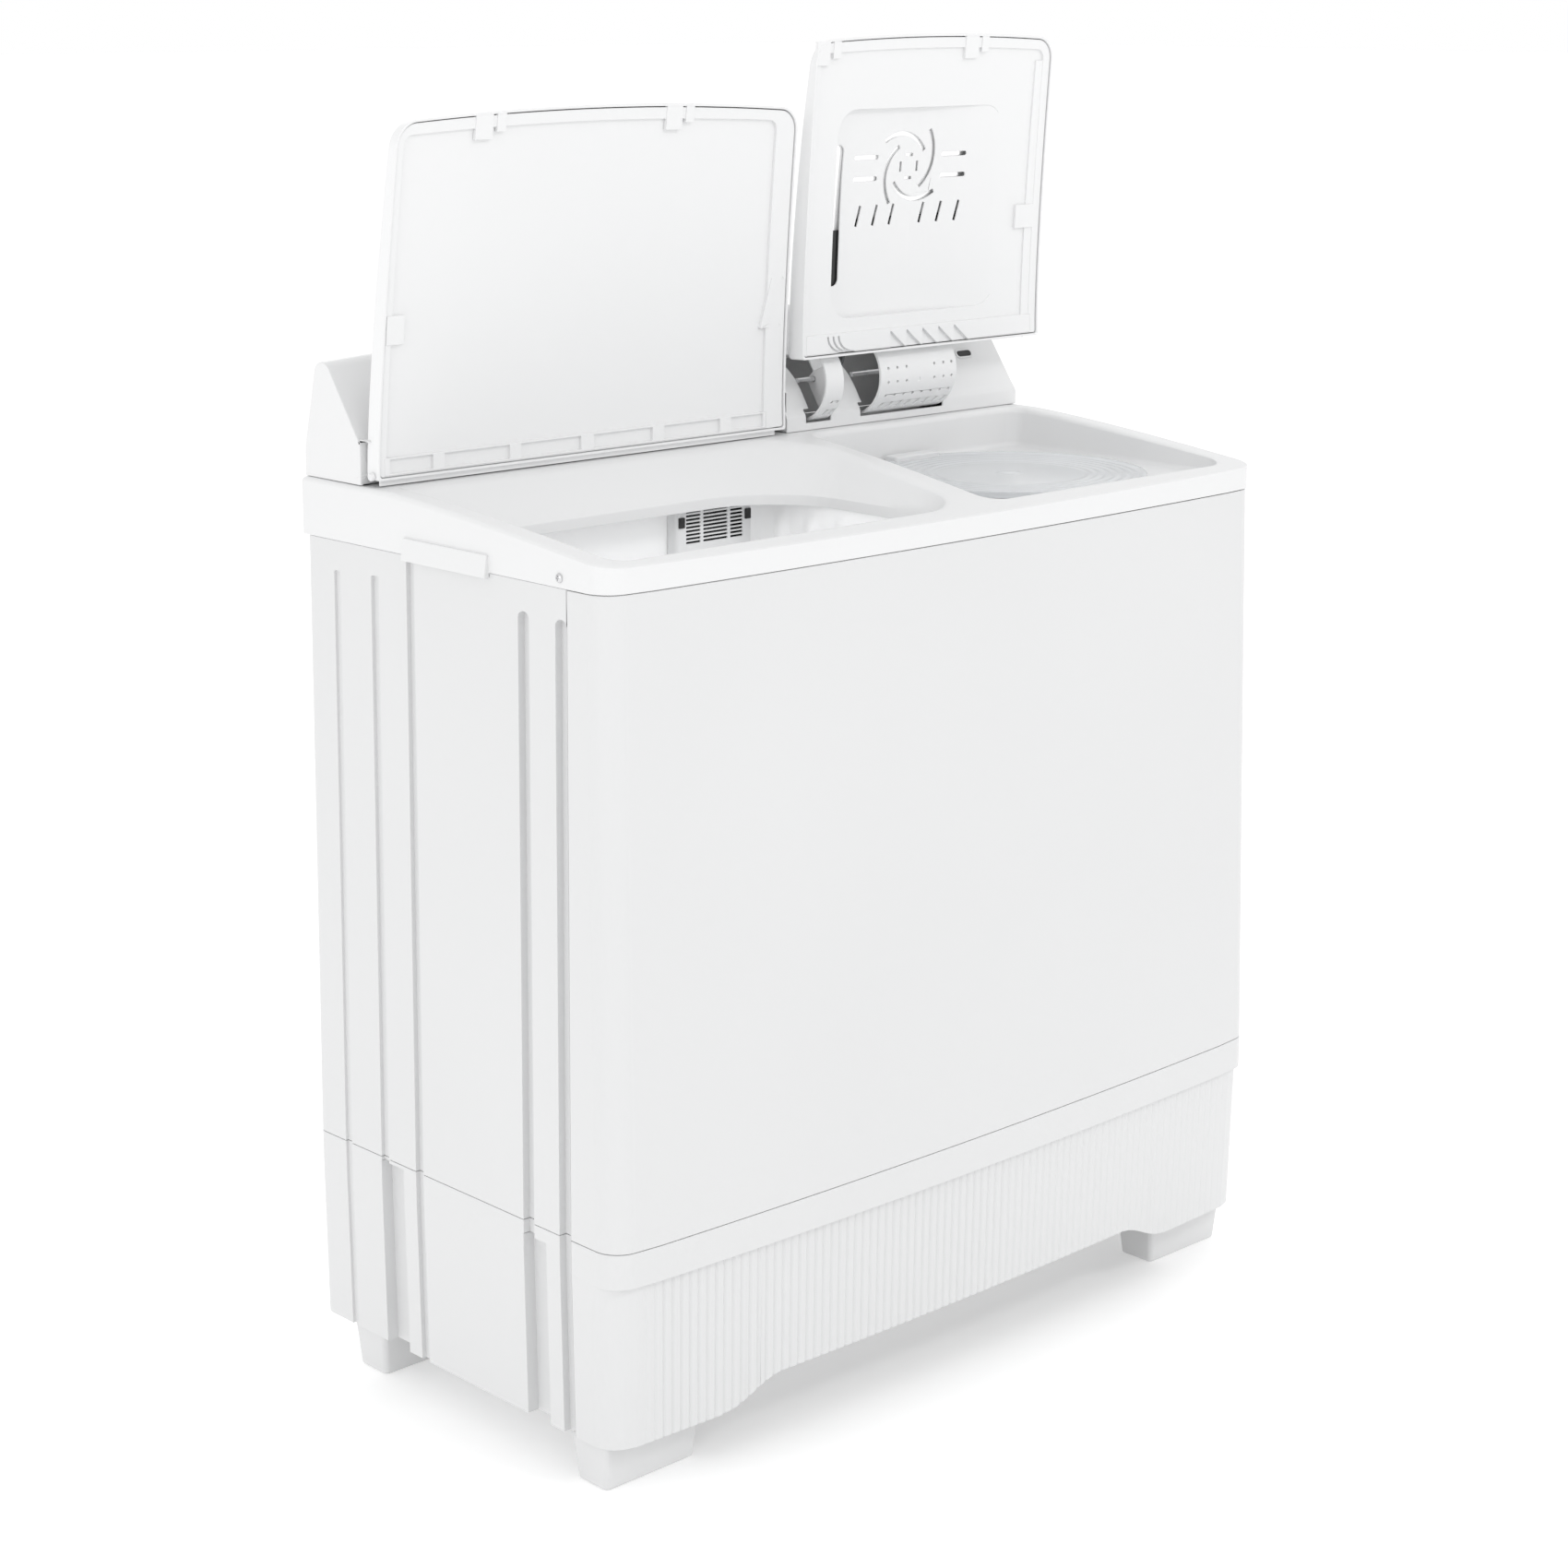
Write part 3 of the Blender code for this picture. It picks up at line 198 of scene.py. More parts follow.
def sliced(piece, axis, places):
    # edge loops across one axis, so that the piece can bend there
    bm = bmesh.new()
    bm.from_mesh(piece.data)
    normal = Vector((0, 0, 0))
    normal[axis] = 1
    for place in places:
        bmesh.ops.bisect_plane(bm, geom=bm.verts[:] + bm.edges[:] + bm.faces[:],
                               plane_co=normal * place, plane_no=normal, dist=0.00001)
    bm.to_mesh(piece.data)
    bm.free()
    return piece


def spread(low, high, count):
    return [low + (high - low) * n / count for n in range(1, count)]


def roundTop(piece, height, radius, segments=4):
    # rounds the rim at one height of a plain prism
    bm = bmesh.new()
    bm.from_mesh(piece.data)
    rim = [e for e in bm.edges if all(abs(v.co.z - height) < 0.00005 for v in e.verts)]
    bmesh.ops.bevel(bm, geom=rim, offset=radius, segments=segments, profile=0.5, affect="EDGES",
                    clamp_overlap=False)
    bm.to_mesh(piece.data)
    bm.free()
    return piece


def softEdges(piece, width=0.0008, segments=2, angle=32):
    bm = bmesh.new()
    bm.from_mesh(piece.data)
    bmesh.ops.remove_doubles(bm, verts=bm.verts, dist=0.00002)
    straight = [v for v in bm.verts if len(v.link_edges) == 2 and v.calc_edge_angle(1.0) < 0.001]
    bmesh.ops.dissolve_verts(bm, verts=straight)
    bm.to_mesh(piece.data)
    bm.free()
    soft = piece.modifiers.new("soft", "BEVEL")
    soft.width = width
    soft.segments = segments
    soft.limit_method = "ANGLE"
    soft.angle_limit = math.radians(angle)
    soft.use_clamp_overlap = False
    soft.miter_outer = "MITER_ARC"
    return applied(piece)


def place(piece, paint, slotName, body, replaced=()):
    piece.data.materials.clear()
    piece.data.materials.append(paint)
    for face in piece.data.polygons:
        face.material_index = 0
    piece.data.shade_smooth()
    piece.data.set_sharp_from_angle(angle=math.radians(38))
    weigh = piece.modifiers.new("weigh", "WEIGHTED_NORMAL")
    weigh.keep_sharp = True
    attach(piece, body)
    if replaced:
        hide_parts(*replaced)
    return piece


# outlines, as lists of points

def arc(centre, radius, start, end, steps):
    angles = [math.radians(start + (end - start) * n / steps) for n in range(steps + 1)]
    return [(centre[0] + radius * math.cos(a), centre[1] + radius * math.sin(a)) for a in angles]


def roundedBox(x0, x1, y0, y1, radii, steps=10):
    # anticlockwise from the front left; radii are front left, front right, rear right, rear left
    outline = []
    corners = ((x0, y0, 1, 1, 180), (x1, y0, -1, 1, 270), (x1, y1, -1, -1, 0), (x0, y1, 1, -1, 90))
    for (x, y, inward, up, start), radius in zip(corners, radii):
        outline += arc((x + inward * radius, y + up * radius), radius, start, start + 90, steps)
    return outline


def slotOutline(x0, x1, y0, y1):
    radius = min(x1 - x0, y1 - y0) / 2 - 0.00005
    return roundedBox(x0, x1, y0, y1, (radius,) * 4, 6)


def crowded(outline, step):
    # adds points along the long straight stretches
    filled = []
    for (x0, y0), (x1, y1) in zip(outline, outline[1:] + outline[:1]):
        count = max(1, math.ceil(math.hypot(x1 - x0, y1 - y0) / step))
        filled += [(x0 + (x1 - x0) * n / count, y0 + (y1 - y0) * n / count) for n in range(count)]
    return filled


# finishes

plastics = {
    # colour, how far its shade drifts, roughness, how far that drifts, grain size and depth in metres
    "casing": {"colour": (0.705, 0.708, 0.711), "drift": 0.010, "rough": 0.36, "roughDrift": 0.04,
               "grain": 0.0012, "depth": 0.000018},
    # upper and lids are the casing's own white plastic painted lighter: painted light for the top frame,
    # control panel, lids and hinge arms, which take less light than the front and sides
    "upper": {"colour": (0.772, 0.775, 0.778), "drift": 0.008, "rough": 0.38, "roughDrift": 0.04,
              "grain": 0.0012, "depth": 0.000018},
    "lids": {"colour": (0.812, 0.815, 0.818), "drift": 0.008, "rough": 0.40, "roughDrift": 0.04,
             "grain": 0.0012, "depth": 0.000018},
    "satin": {"colour": (0.757, 0.760, 0.765), "drift": 0.014, "rough": 0.42, "roughDrift": 0.08,
              "grain": 0.0009, "depth": 0.000026},
    "tub": {"colour": (0.880, 0.884, 0.888), "drift": 0.014, "rough": 0.30, "roughDrift": 0.05,
            "grain": 0.0016, "depth": 0.00003},
    "grey": {"colour": (0.36, 0.37, 0.38), "drift": 0.05, "rough": 0.48, "roughDrift": 0.10,
             "grain": 0.0008, "depth": 0.00004},
    "black": {"colour": (0.014, 0.014, 0.015), "drift": 0.25, "rough": 0.40, "roughDrift": 0.12,
              "grain": 0.0008, "depth": 0.00003},
    "rubber": {"colour": (0.025, 0.025, 0.026), "drift": 0.30, "rough": 0.78, "roughDrift": 0.10,
               "grain": 0.0006, "depth": 0.00006},
    "paint": {"colour": (0.13, 0.145, 0.16), "drift": 0.12, "rough": 0.45, "roughDrift": 0.12,
              "grain": 0.0015, "depth": 0.00005},
    "mark": {"colour": (0.30, 0.32, 0.35), "drift": 0.06, "rough": 0.50, "roughDrift": 0.08,
             "grain": 0.0007, "depth": 0.00001},
}

metals = {
    "plated": {"colour": (0.70, 0.70, 0.71), "drift": 0.08, "rough": 0.24, "roughDrift": 0.12,
               "grain": 0.0010, "depth": 0.00001},
    "stainless": {"colour": (0.60, 0.61, 0.62), "drift": 0.10, "rough": 0.30, "roughDrift": 0.14,
                  "grain": 0.0014, "depth": 0.00002},
    "casting": {"colour": (0.52, 0.53, 0.54), "drift": 0.14, "rough": 0.50, "roughDrift": 0.12,
                "grain": 0.0022, "depth": 0.00012},
}


def surface(name, look, metallic=0.0):
    # slow shade drift, patches of gloss and a fine moulded grain, all in metres
    paint = bpy.data.materials.new(name)
    paint.use_nodes = True
    tree = paint.node_tree
    shader = tree.nodes["Principled BSDF"]
    shader.inputs["Metallic"].default_value = metallic
    where = tree.nodes.new("ShaderNodeTexCoord")

    def noise(size, detail):
        made = tree.nodes.new("ShaderNodeTexNoise")
        made.inputs["Scale"].default_value = 1 / size
        made.inputs["Detail"].default_value = detail
        tree.links.new(where.outputs["Object"], made.inputs["Vector"])
        return made

    shade = tree.nodes.new("ShaderNodeMix")
    shade.data_type = "RGBA"
    darker = [c * (1 - look["drift"] * 2) for c in look["colour"]]
    shade.inputs[6].default_value = (*darker, 1)
    shade.inputs[7].default_value = (*look["colour"], 1)
    spreadOut = tree.nodes.new("ShaderNodeMapRange")
    spreadOut.inputs["From Min"].default_value = 0.25
    spreadOut.inputs["From Max"].default_value = 0.75
    tree.links.new(noise(0.35, 1).outputs["Fac"], spreadOut.inputs["Value"])
    tree.links.new(spreadOut.outputs["Result"], shade.inputs[0])
    tree.links.new(shade.outputs[2], shader.inputs["Base Color"])
    gloss = tree.nodes.new("ShaderNodeMapRange")
    gloss.inputs["From Min"].default_value = 0.3
    gloss.inputs["From Max"].default_value = 0.7
    gloss.inputs["To Min"].default_value = look["rough"] - look["roughDrift"]
    gloss.inputs["To Max"].default_value = look["rough"] + look["roughDrift"]
    tree.links.new(noise(0.12, 2).outputs["Fac"], gloss.inputs["Value"])
    tree.links.new(gloss.outputs["Result"], shader.inputs["Roughness"])
    bump = tree.nodes.new("ShaderNodeBump")
    bump.inputs["Strength"].default_value = 0.6
    bump.inputs["Distance"].default_value = look["depth"]
    tree.links.new(noise(look["grain"], 2).outputs["Fac"], bump.inputs["Height"])
    tree.links.new(bump.outputs["Normal"], shader.inputs["Normal"])
    return paint


paints = {name: surface(name, look) for name, look in plastics.items()}
paints.update({name: surface(name, look, 1.0) for name, look in metals.items()})

clearLook = {"colour": (0.86, 0.88, 0.90), "drift": 0.02, "rough": 0.18, "roughDrift": 0.08,
             "grain": 0.0015, "depth": 0.00002}
tubPaintedGlow = 0.17                                                # painted light: the tub walls glow, standing in for light that comes through the thin tub plastic
# the tub wall finish emits light though it is no lamp: painted light that brightens the inside of the tub
paints["tubWallPaintedGlow"] = surface("tubWallPaintedGlow", plastics["tub"])
tubGlowShader = paints["tubWallPaintedGlow"].node_tree.nodes["Principled BSDF"]
tubGlowShader.inputs["Emission Color"].default_value = (1, 1, 1, 1)
tubGlowShader.inputs["Emission Strength"].default_value = tubPaintedGlow
paints["milky"] = surface("milky", clearLook)
milky = paints["milky"].node_tree.nodes["Principled BSDF"]
milky.inputs["Transmission Weight"].default_value = 0.35
milky.inputs["IOR"].default_value = 1.49
print("finishes made:", len(paints))


# casing

casing = {
    "half": 0.460, "rear": 0.243, "front": -0.220,      # half width, rear wall, front corners
    "corner": 0.028, "bow": 0.013, "flare": 0.006, "frontFlare": 0.010,
    "base": 0.047, "band": 0.212, "seam": 0.247, "top": 0.867,
    "wall": 0.003, "gap": 0.0003,
    "sideFront": -0.1655,                                # the side walls end in the foremost groove
    "grooves": (                                         # y of the rear wall, width, depth, top
        (0.193, 0.010, 0.003, 0.837),
        (0.132, 0.012, 0.004, 0.840),
        (0.075, 0.012, 0.005, 0.861),
        (-0.095, 0.016, 0.008, 0.838),
        (-0.149, 0.016, 0.008, 0.838),
    ),
    "slicesX": (-0.445, -0.15, 0.15, 0.445),
    "slicesY": (-0.15, -0.115, -0.06, 0.05, 0.125, 0.18, 0.228),
    "doorway": (0.300, 0.560),                           # half width and top of the rear doorway
    "swages": (-0.36, -0.24, -0.12, 0.0, 0.12, 0.24, 0.36),
    "swage": (0.006, 0.600, 0.835, 0.0012),              # half width, foot, head, depth
}


def frontBow(x, bow):
    return -bow * (1 - (x / casing["half"]) ** 2)


def casingOutline(inset=0.0, rear=casing["rear"], ahead=0.0, bow=casing["bow"]):
    half = casing["half"] - inset
    front = casing["front"] + inset - ahead
    radius = casing["corner"] - inset
    left = arc((-half + radius, front + radius), radius, 180, 262, 14)
    right = [(-x, y) for x, y in reversed(left)]
    inner = half - radius
    middle = [(inner * n / 16, front + frontBow(inner * n / 16, bow)) for n in range(-15, 16)]
    return [(-half, rear), *left, *middle, *right, (half, rear)]


def flared(x, y, z):
    # the casing widens a little from the top frame down to the low seam
    down = min(1.0, max(0.0, (casing["top"] - z) / (casing["top"] - casing["seam"])))
    if z < casing["band"]:
        down -= 0.5 * (casing["band"] - z) / casing["band"]
    side = down * casing["flare"] * max(-1.0, min(1.0, x / (casing["half"] - 0.04)))
    ahead = down * casing["frontFlare"] if y < casing["sideFront"] - 0.004 else 0.0
    return x + side, y - ahead, z


def grooveOutline(y0, y1, low, high, roundness):
    middle, radius = (y0 + y1) / 2, (y1 - y0) / 2
    head = [(y, high - radius * roundness + z * roundness) for y, z in arc((middle, 0), radius, 0, 180, 8)]
    return [(y0, low), (y1, low), *head]


def sideGrooves(low, grow=0.0):
    cutters = []
    for n, (rear, width, depth, top) in enumerate(casing["grooves"]):
        outline = grooveOutline(rear - width - grow, rear + grow, low, top + grow, 0.8 if n > 2 else 0.3)
        for side in (-1, 1):
            near, far = onSide(side, casing["half"] - depth - grow, casing["half"] + 0.05)
            cutters.append(sidePrism("groove", outline, near, far))
    return cutters


def hollowCase(name, low, high, roomLow, recesses=()):
    half, wall, rear = casing["half"], casing["wall"], casing["rear"]
    radii = (0.0008, 0.0008, 0.014, 0.014)
    shell = prism(name, roundedBox(-half, half, casing["sideFront"], rear, radii, 8), low, high)
    shell = cutAll(shell, sideGrooves(low - 0.01))
    for recess in recesses:
        shell = cutAll(shell, sideRecess(recess, low - 0.01, 0.0))
    inner = half - wall
    room = prism("room", roundedBox(-inner, inner, casing["sideFront"] - 0.05, rear - wall,
                                    (0.0008, 0.0008, 0.011, 0.011), 8), roomLow, high + 0.02)
    room = cutAll(room, sideGrooves(low - 0.03, wall))
    for recess in recesses:
        room = cutAll(room, sideRecess(recess, low - 0.03, wall))
    shell = sliced(cut(shell, room), 0, casing["slicesX"])
    return sliced(shell, 1, casing["slicesY"])


def sideRecess(recess, low, grow):
    y0, y1, depth, top = recess
    made = []
    for side in (-1, 1):
        near, far = onSide(side, casing["half"] - depth - grow, casing["half"] + 0.05)
        made.append(block("recess", (near, y0 - grow, low), (far, y1 + grow, top + grow)))
    return made


def makeCabinet():
    low, high, rear = casing["seam"] + casing["gap"], casing["top"] - casing["gap"], casing["rear"]
    shell = hollowCase("cabinetWalls", low, high, low - 0.02)
    half, top = casing["doorway"]
    shell = cut(shell, block("door", (-half, rear - 0.02, low - 0.01), (half, rear + 0.02, top)))
    half, foot, head, depth = casing["swage"]
    swages = [frontPrism("swage", slotOutline(x - half, x + half, foot, head), rear - depth, rear + 0.01)
              for x in casing["swages"]]
    shell = softEdges(cutAll(shell, swages), 0.0005)
    place(reshape(shell, flared), paints["casing"], "casing_plastic", "cabinet", ["cabinet_shell"])


def wrapFront(name, low, high, inset=0.0):
    rear, wall = casing["sideFront"] - casing["gap"], casing["wall"]
    skin = prism(name, casingOutline(inset, rear), low, high)
    room = prism("room", casingOutline(inset + wall, rear + 0.02), low - 0.02, high + 0.02)
    depth = casing["half"] - 0.008 - wall
    flanges = []
    for side in (-1, 1):
        near, far = onSide(side, depth, casing["half"] + 0.01)
        flanges.append(block("flange", (near, rear - wall, low - 0.03), (far, rear + 0.03, high + 0.03)))
    return cut(skin, cutAll(room, flanges))


def makeFrontPanel():
    panel = wrapFront("frontPanel", casing["seam"] + casing["gap"], casing["top"] - casing["gap"] - 0.0006)
    panel = softEdges(panel, 0.0007, 3)
    place(reshape(panel, flared), paints["casing"], "casing_plastic", "cabinet", ["front_panel"])


lowSide = {
    # recesses in the side walls below the seam: y from, y to, depth, top
    "rearRecess": (0.0958, 0.1325, 0.0130, 0.2430),
    "frontRecess": (-0.1285, -0.0945, 0.0130, 0.2330),
    "notch": (0.0962, 0.1085, 0.110, 0.030),       # y from, y to, top, depth; open from below
    "drain": (0.0, 0.110, 0.0165),                 # x, z and radius of its hole
    "ribs": (-5, -4, -3, -2, 2, 3, 4, 5), "ribPitch": 0.06,
    "rib": (0.0012, 0.070, 0.225),                 # half width, foot, head
}


def makeBase():
    low, high = casing["base"] + 0.001, casing["seam"] - casing["gap"]
    half, rear = casing["half"], casing["rear"]
    recesses = (lowSide["rearRecess"], lowSide["frontRecess"])
    base = hollowCase("baseWalls", low, high, low + casing["wall"], recesses)
    y0, y1, top, depth = lowSide["notch"]
    spans = [onSide(side, half - depth, half + 0.02) for side in (-1, 1)]
    base = cutAll(base, [block("notch", (x0, y0, low - 0.01), (x1, y1, top)) for x0, x1 in spans])
    x, z, radius = lowSide["drain"]
    base = cut(base, rod("drain", (x, 0.20, z), (x, 0.26, z), radius))
    wide, foot, head = lowSide["rib"]
    middles = [n * lowSide["ribPitch"] for n in lowSide["ribs"]]
    ribs = [block("rib", (x - wide, rear - 0.0012, foot), (x + wide, rear + 0.0008, head)) for x in middles]
    base = join(base, gather(ribs))
    base = sliced(softEdges(base, 0.0005), 2, [casing["band"]])
    place(reshape(base, flared), paints["casing"], "casing_plastic", "cabinet", ["base_frame"])


skirt = {
    "setBack": 0.006, "flutePitch": 0.0105, "fluteDepth": 0.0013,
    "archFoot": 0.325, "archRun": 0.075, "archRise": 0.022, "archLow": 0.049,
}


def flutedFront(inset):
    # shallow upright flutes across the front, fading towards the corners
    rear = casing["sideFront"] - casing["gap"]
    half, front = casing["half"] - inset, casing["front"] + inset + skirt["setBack"]
    radius = casing["corner"] - inset
    left = arc((-half + radius, front + radius), radius, 180, 262, 12)
    right = [(-x, y) for x, y in reversed(left)]
    reach = half - radius - 0.002
    count = round(2 * reach / skirt["flutePitch"]) * 10
    middle = []
    for n in range(count + 1):
        x = -reach + 2 * reach * n / count
        fade = min(1.0, (reach - abs(x)) / 0.03) * (1 - 0.6 * min(1.0, max(0.0, x / 0.30)))
        wave = max(0.0, math.cos(2 * math.pi * n / 10)) ** 2
        middle.append((x, front + frontBow(x, casing["bow"]) + fade * skirt["fluteDepth"] * wave))
    return [(-half, rear), *left, *middle, *right, (half, rear)]


def archOutline():
    foot, run, rise, low = (skirt[k] for k in ("archFoot", "archRun", "archRise", "archLow"))
    half = [(-foot - 0.005, 0.02), (-foot, low)]
    half += [(-foot + run * n / 20, low + rise * (1 - math.cos(math.pi * n / 20)) / 2) for n in range(1, 21)]
    return half + [(-x, z) for x, z in reversed(half)]


def makeSkirt():
    wall, rear = casing["wall"], casing["sideFront"] - casing["gap"]
    band = wrapFront("lowBand", casing["band"], casing["seam"] - casing["gap"])
    ledge = prism("ledge", casingOutline(0.0008, casing["sideFront"] - 0.012),
                  casing["band"] + 0.0002, casing["band"] + wall)
    room = prism("room", casingOutline(0.012, casing["sideFront"] + 0.02), 0.19, 0.24)
    band = softEdges(join(band, cut(ledge, room)), 0.0006)
    place(reshape(band, flared), paints["casing"], "casing_plastic", "cabinet", ["base_skirt"])

    skin = prism("flutedSkirt", flutedFront(0.0), casing["base"] + 0.001, casing["band"] + 0.0005)
    room = prism("room", casingOutline(wall + 0.0012, rear - wall, -skirt["setBack"]), 0.02, 0.24)
    back = block("back", (-0.44, rear - wall - 0.0001, 0.02), (0.44, rear + 0.02, 0.24))
    skin = cut(skin, room, back)
    skin = cut(skin, frontPrism("arch", archOutline(), -0.30, 0.30))
    skin = softEdges(skin, 0.0007, 2, 48)
    place(reshape(skin, flared), paints["casing"], "casing_plastic", "cabinet")


foot = {
    "halfLength": 0.060, "halfWidth": 0.026, "taper": 0.004, "round": 0.006, "levels": (0.012, 0.030),
    "dish": (0.014, 0.016, 0.003), "dishPitch": 0.034,     # half length, half width, depth
}


def makeFeet():
    for node in ("front_left_foot", "front_right_foot", "rear_left_foot", "rear_right_foot"):
        low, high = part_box(node)
        cx, cy = (low.x + high.x) / 2, (low.y + high.y) / 2
        rings = []
        for z in (0.0, *foot["levels"], high.z):
            draw = foot["taper"] * (1 - z / high.z)
            a, b = foot["halfLength"] - draw, foot["halfWidth"] - draw
            outline = roundedBox(-a, a, -b, b, (foot["round"],) * 4, 6)
            rings.append([(cx + x, cy + y, z) for x, y in outline])
        pad = loft(node + "Block", rings)
        a, b, depth = foot["dish"]
        middles = [cx + k * foot["dishPitch"] for k in (-1, 0, 1)]
        dishes = [block("dish", (x - a, cy - b, -0.01), (x + a, cy + b, depth)) for x in middles]
        pad = softEdges(cutAll(pad, dishes), 0.0022, 3, 40)
        place(pad, paints["casing"], "casing_plastic", "cabinet", [node])


# top frame with the wash opening and the spin well

deck = {
    "height": 0.925, "drop": 0.033, "bendAt": 0.115,    # flat rear part, and how far it falls to the front
    "rim": 0.0055,
    "chute": (-0.433, 0.020, -0.203, 0.070), "chuteFoot": 0.880, "chuteTop": 0.950,
    "chuteRadii": (0.020, 0.060, 0.090, 0.012), "chuteLevels": (0.890, 0.900, 0.910),
    "well": (0.085, 0.437, -0.200, 0.116), "wellFloor": 0.880, "wellRadii": (0.025, 0.030, 0.020, 0.030),
    "wellLean": 0.045, "floorRound": 0.006, "holeRadius": 0.138,
    "shoulder": 0.007,
    "gripY": (-0.054, 0.075), "gripZ": (0.8625, 0.884), "gripOut": 0.0070, "gripLean": 0.0035,
}


def deckDrop(y):
    ahead = max(0.0, deck["bendAt"] - y) / (deck["bendAt"] + 0.220)
    return deck["drop"] * ahead ** 1.35


def drooped(x, y, z):
    # the frame is drawn level, then its deck is let down towards the front
    hold = deck["wellFloor"] + 0.004
    share = min(1.0, max(0.0, (z - hold) / (deck["height"] - hold)))
    return x, y, z - deckDrop(y) * share


def chuteRing(z, grow):
    x0, x1, y0, y1 = deck["chute"]
    outline = roundedBox(x0 - grow, x1 + grow, y0 - grow, y1 + grow,
                         [r + grow for r in deck["chuteRadii"]], 12)
    ring = []
    for x, y in crowded(outline, 0.02):
        back, across = (y - y0) / (y1 - y0), (x - x0) / (x1 - x0)
        real = drooped(0, y + back * 0.05, z)[2]
        up = max(0.0, (real - deck["chuteFoot"]) / (deck["chuteTop"] - deck["chuteFoot"]))
        ring.append((x + across * (0.034 + 0.072 * back) * up, y + back * 0.082 * up, z))  # leans outwards
    return ring


def shoulderRolls():
    # how an opening's edge rolls outwards into the deck: height and growth
    top, r = deck["height"], deck["shoulder"]
    return [(top - r + r * math.sin(a), r - r * math.cos(a)) for a in quarter(5)]


def chuteCutter():
    rows = [chuteRing(z, 0.0) for z in (0.85, deck["chuteFoot"] - 0.0005, *deck["chuteLevels"])]
    rolls = shoulderRolls()
    rows += [chuteRing(z, grow) for z, grow in rolls]
    rows.append(chuteRing(deck["height"] + 0.02, rolls[-1][1] + 0.0005))
    return loft("opening", rows)


def wellOutline(grow=0.0):
    x0, x1, y0, y1 = deck["well"]
    outline = roundedBox(x0 - grow, x1 + grow, y0 - grow, y1 + grow,
                         [r + grow for r in deck["wellRadii"]], 12)
    lean = deck["wellLean"]
    return [(x - lean * (x1 - x) / (x1 - x0) * (0.5 - (y - y0) / (y1 - y0)), y)
            for x, y in crowded(outline, 0.02)]


def wellCutter():
    floor, r = deck["wellFloor"], deck["floorRound"]
    rows = [[(x, y, floor + r * (1 - math.cos(a))) for x, y in wellOutline(-r * (1 - math.sin(a)))]
            for a in quarter(4)]
    rolls = shoulderRolls()
    rows += [[(x, y, z) for x, y in wellOutline(grow)] for z, grow in rolls]
    rows.append([(x, y, deck["height"] + 0.02) for x, y in wellOutline(rolls[-1][1] + 0.0005)])
    return loft("wellRoom", rows)


def makeGrips():
    # a ledge under the rim on each side, to lift the machine by
    grips = []
    (y0, y1), (z0, z1) = deck["gripY"], deck["gripZ"]
    for side in (-1, 1):
        x0, x1 = onSide(side, casing["half"] + 0.0004, casing["half"] + deck["gripOut"])
        outer, lean = x1 if side > 0 else x0, side * deck["gripLean"]
        grip = block("grip", (x0, y0, z0), (x1, y1, z1))
        grips.append(reshape(grip, lambda x, y, z: (
            x - lean * (z > z0 + 0.01) * (abs(x - outer) < 0.0001), y, z)))
    return gather(grips)


def makeTopFrame():
    wall, top = casing["wall"], deck["height"]
    outline = [(x * (casing["half"] + 0.001) / casing["half"], y) for x, y in casingOutline(ahead=0.001)]
    body = roundTop(prism("topFrame", outline, casing["top"], top), top, deck["rim"], 5)
    under = prism("under", casingOutline(wall, casing["rear"] - wall), 0.85, top - wall)
    levels = (casing["top"] + 0.0013, deck["chuteFoot"], *deck["chuteLevels"], top - 0.0016)
    walls = loft("chuteWalls", [chuteRing(z, wall) for z in levels])
    well = prism("wellWalls", wellOutline(wall), deck["wellFloor"] - wall, top - 0.0012)
    body = join(join(cut(body, under), walls), well)
    body = cut(cut(body, chuteCutter()), wellCutter())
    cx, cy = spinAxis
    body = cut(body, rod("hole", (cx, cy, 0.86), (cx, cy, 0.90), deck["holeRadius"], 96))
    body = softEdges(join(body, makeGrips()), 0.0009, 2, 34)
    body = sliced(body, 1, spread(-0.235, deck["bendAt"] + 0.002, 22))
    place(reshape(body, drooped), paints["upper"], "casing_plastic", "cabinet", ["top_frame"])


spinLow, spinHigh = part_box("spin_basket")
spinAxis = ((spinLow.x + spinHigh.x) / 2, (spinLow.y + spinHigh.y) / 2)
washLow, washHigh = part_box("pulsator_shaft")
washAxis = ((washLow.x + washHigh.x) / 2, (washLow.y + washHigh.y) / 2)


def crossRecess(middle, out, size):
    # two crossed slots in a screw head
    return [aimed(block("slot", (-a, -b, -0.0012), (a, b, 0.004)), middle, out)
            for a, b in ((size, size * 0.22), (size * 0.22, size))]


def screwHead(name, middle, out, radius=0.0045, proud=0.0024):
    dome = [(radius * math.cos(a), proud * math.sin(a)) for a in quarter(6)[1:-1]]
    head = aimed(turned(name, [(0, 0), (radius, 0), *dome, (0, proud)], (0, 0), 28), middle, out)
    a, b = crossRecess(Vector(middle) + Vector(out) * proud, out, radius * 0.55)
    return cut(cut(head, a), b)


def makeFrameScrews():
    for node, side in (("left_frame_screw", -1), ("right_frame_screw", 1)):
        low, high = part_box(node)
        middle = (low if side > 0 else high).x, (low.y + high.y) / 2, (low.z + high.z) / 2
        head = screwHead(node + "Head", middle, (side, 0, 0))
        place(head, paints["plated"], "bright_steel", "cabinet", [node])


makeCabinet()
makeFrontPanel()
makeBase()
makeSkirt()
makeFeet()
makeTopFrame()
makeFrameScrews()
print("casing made")

# control panel

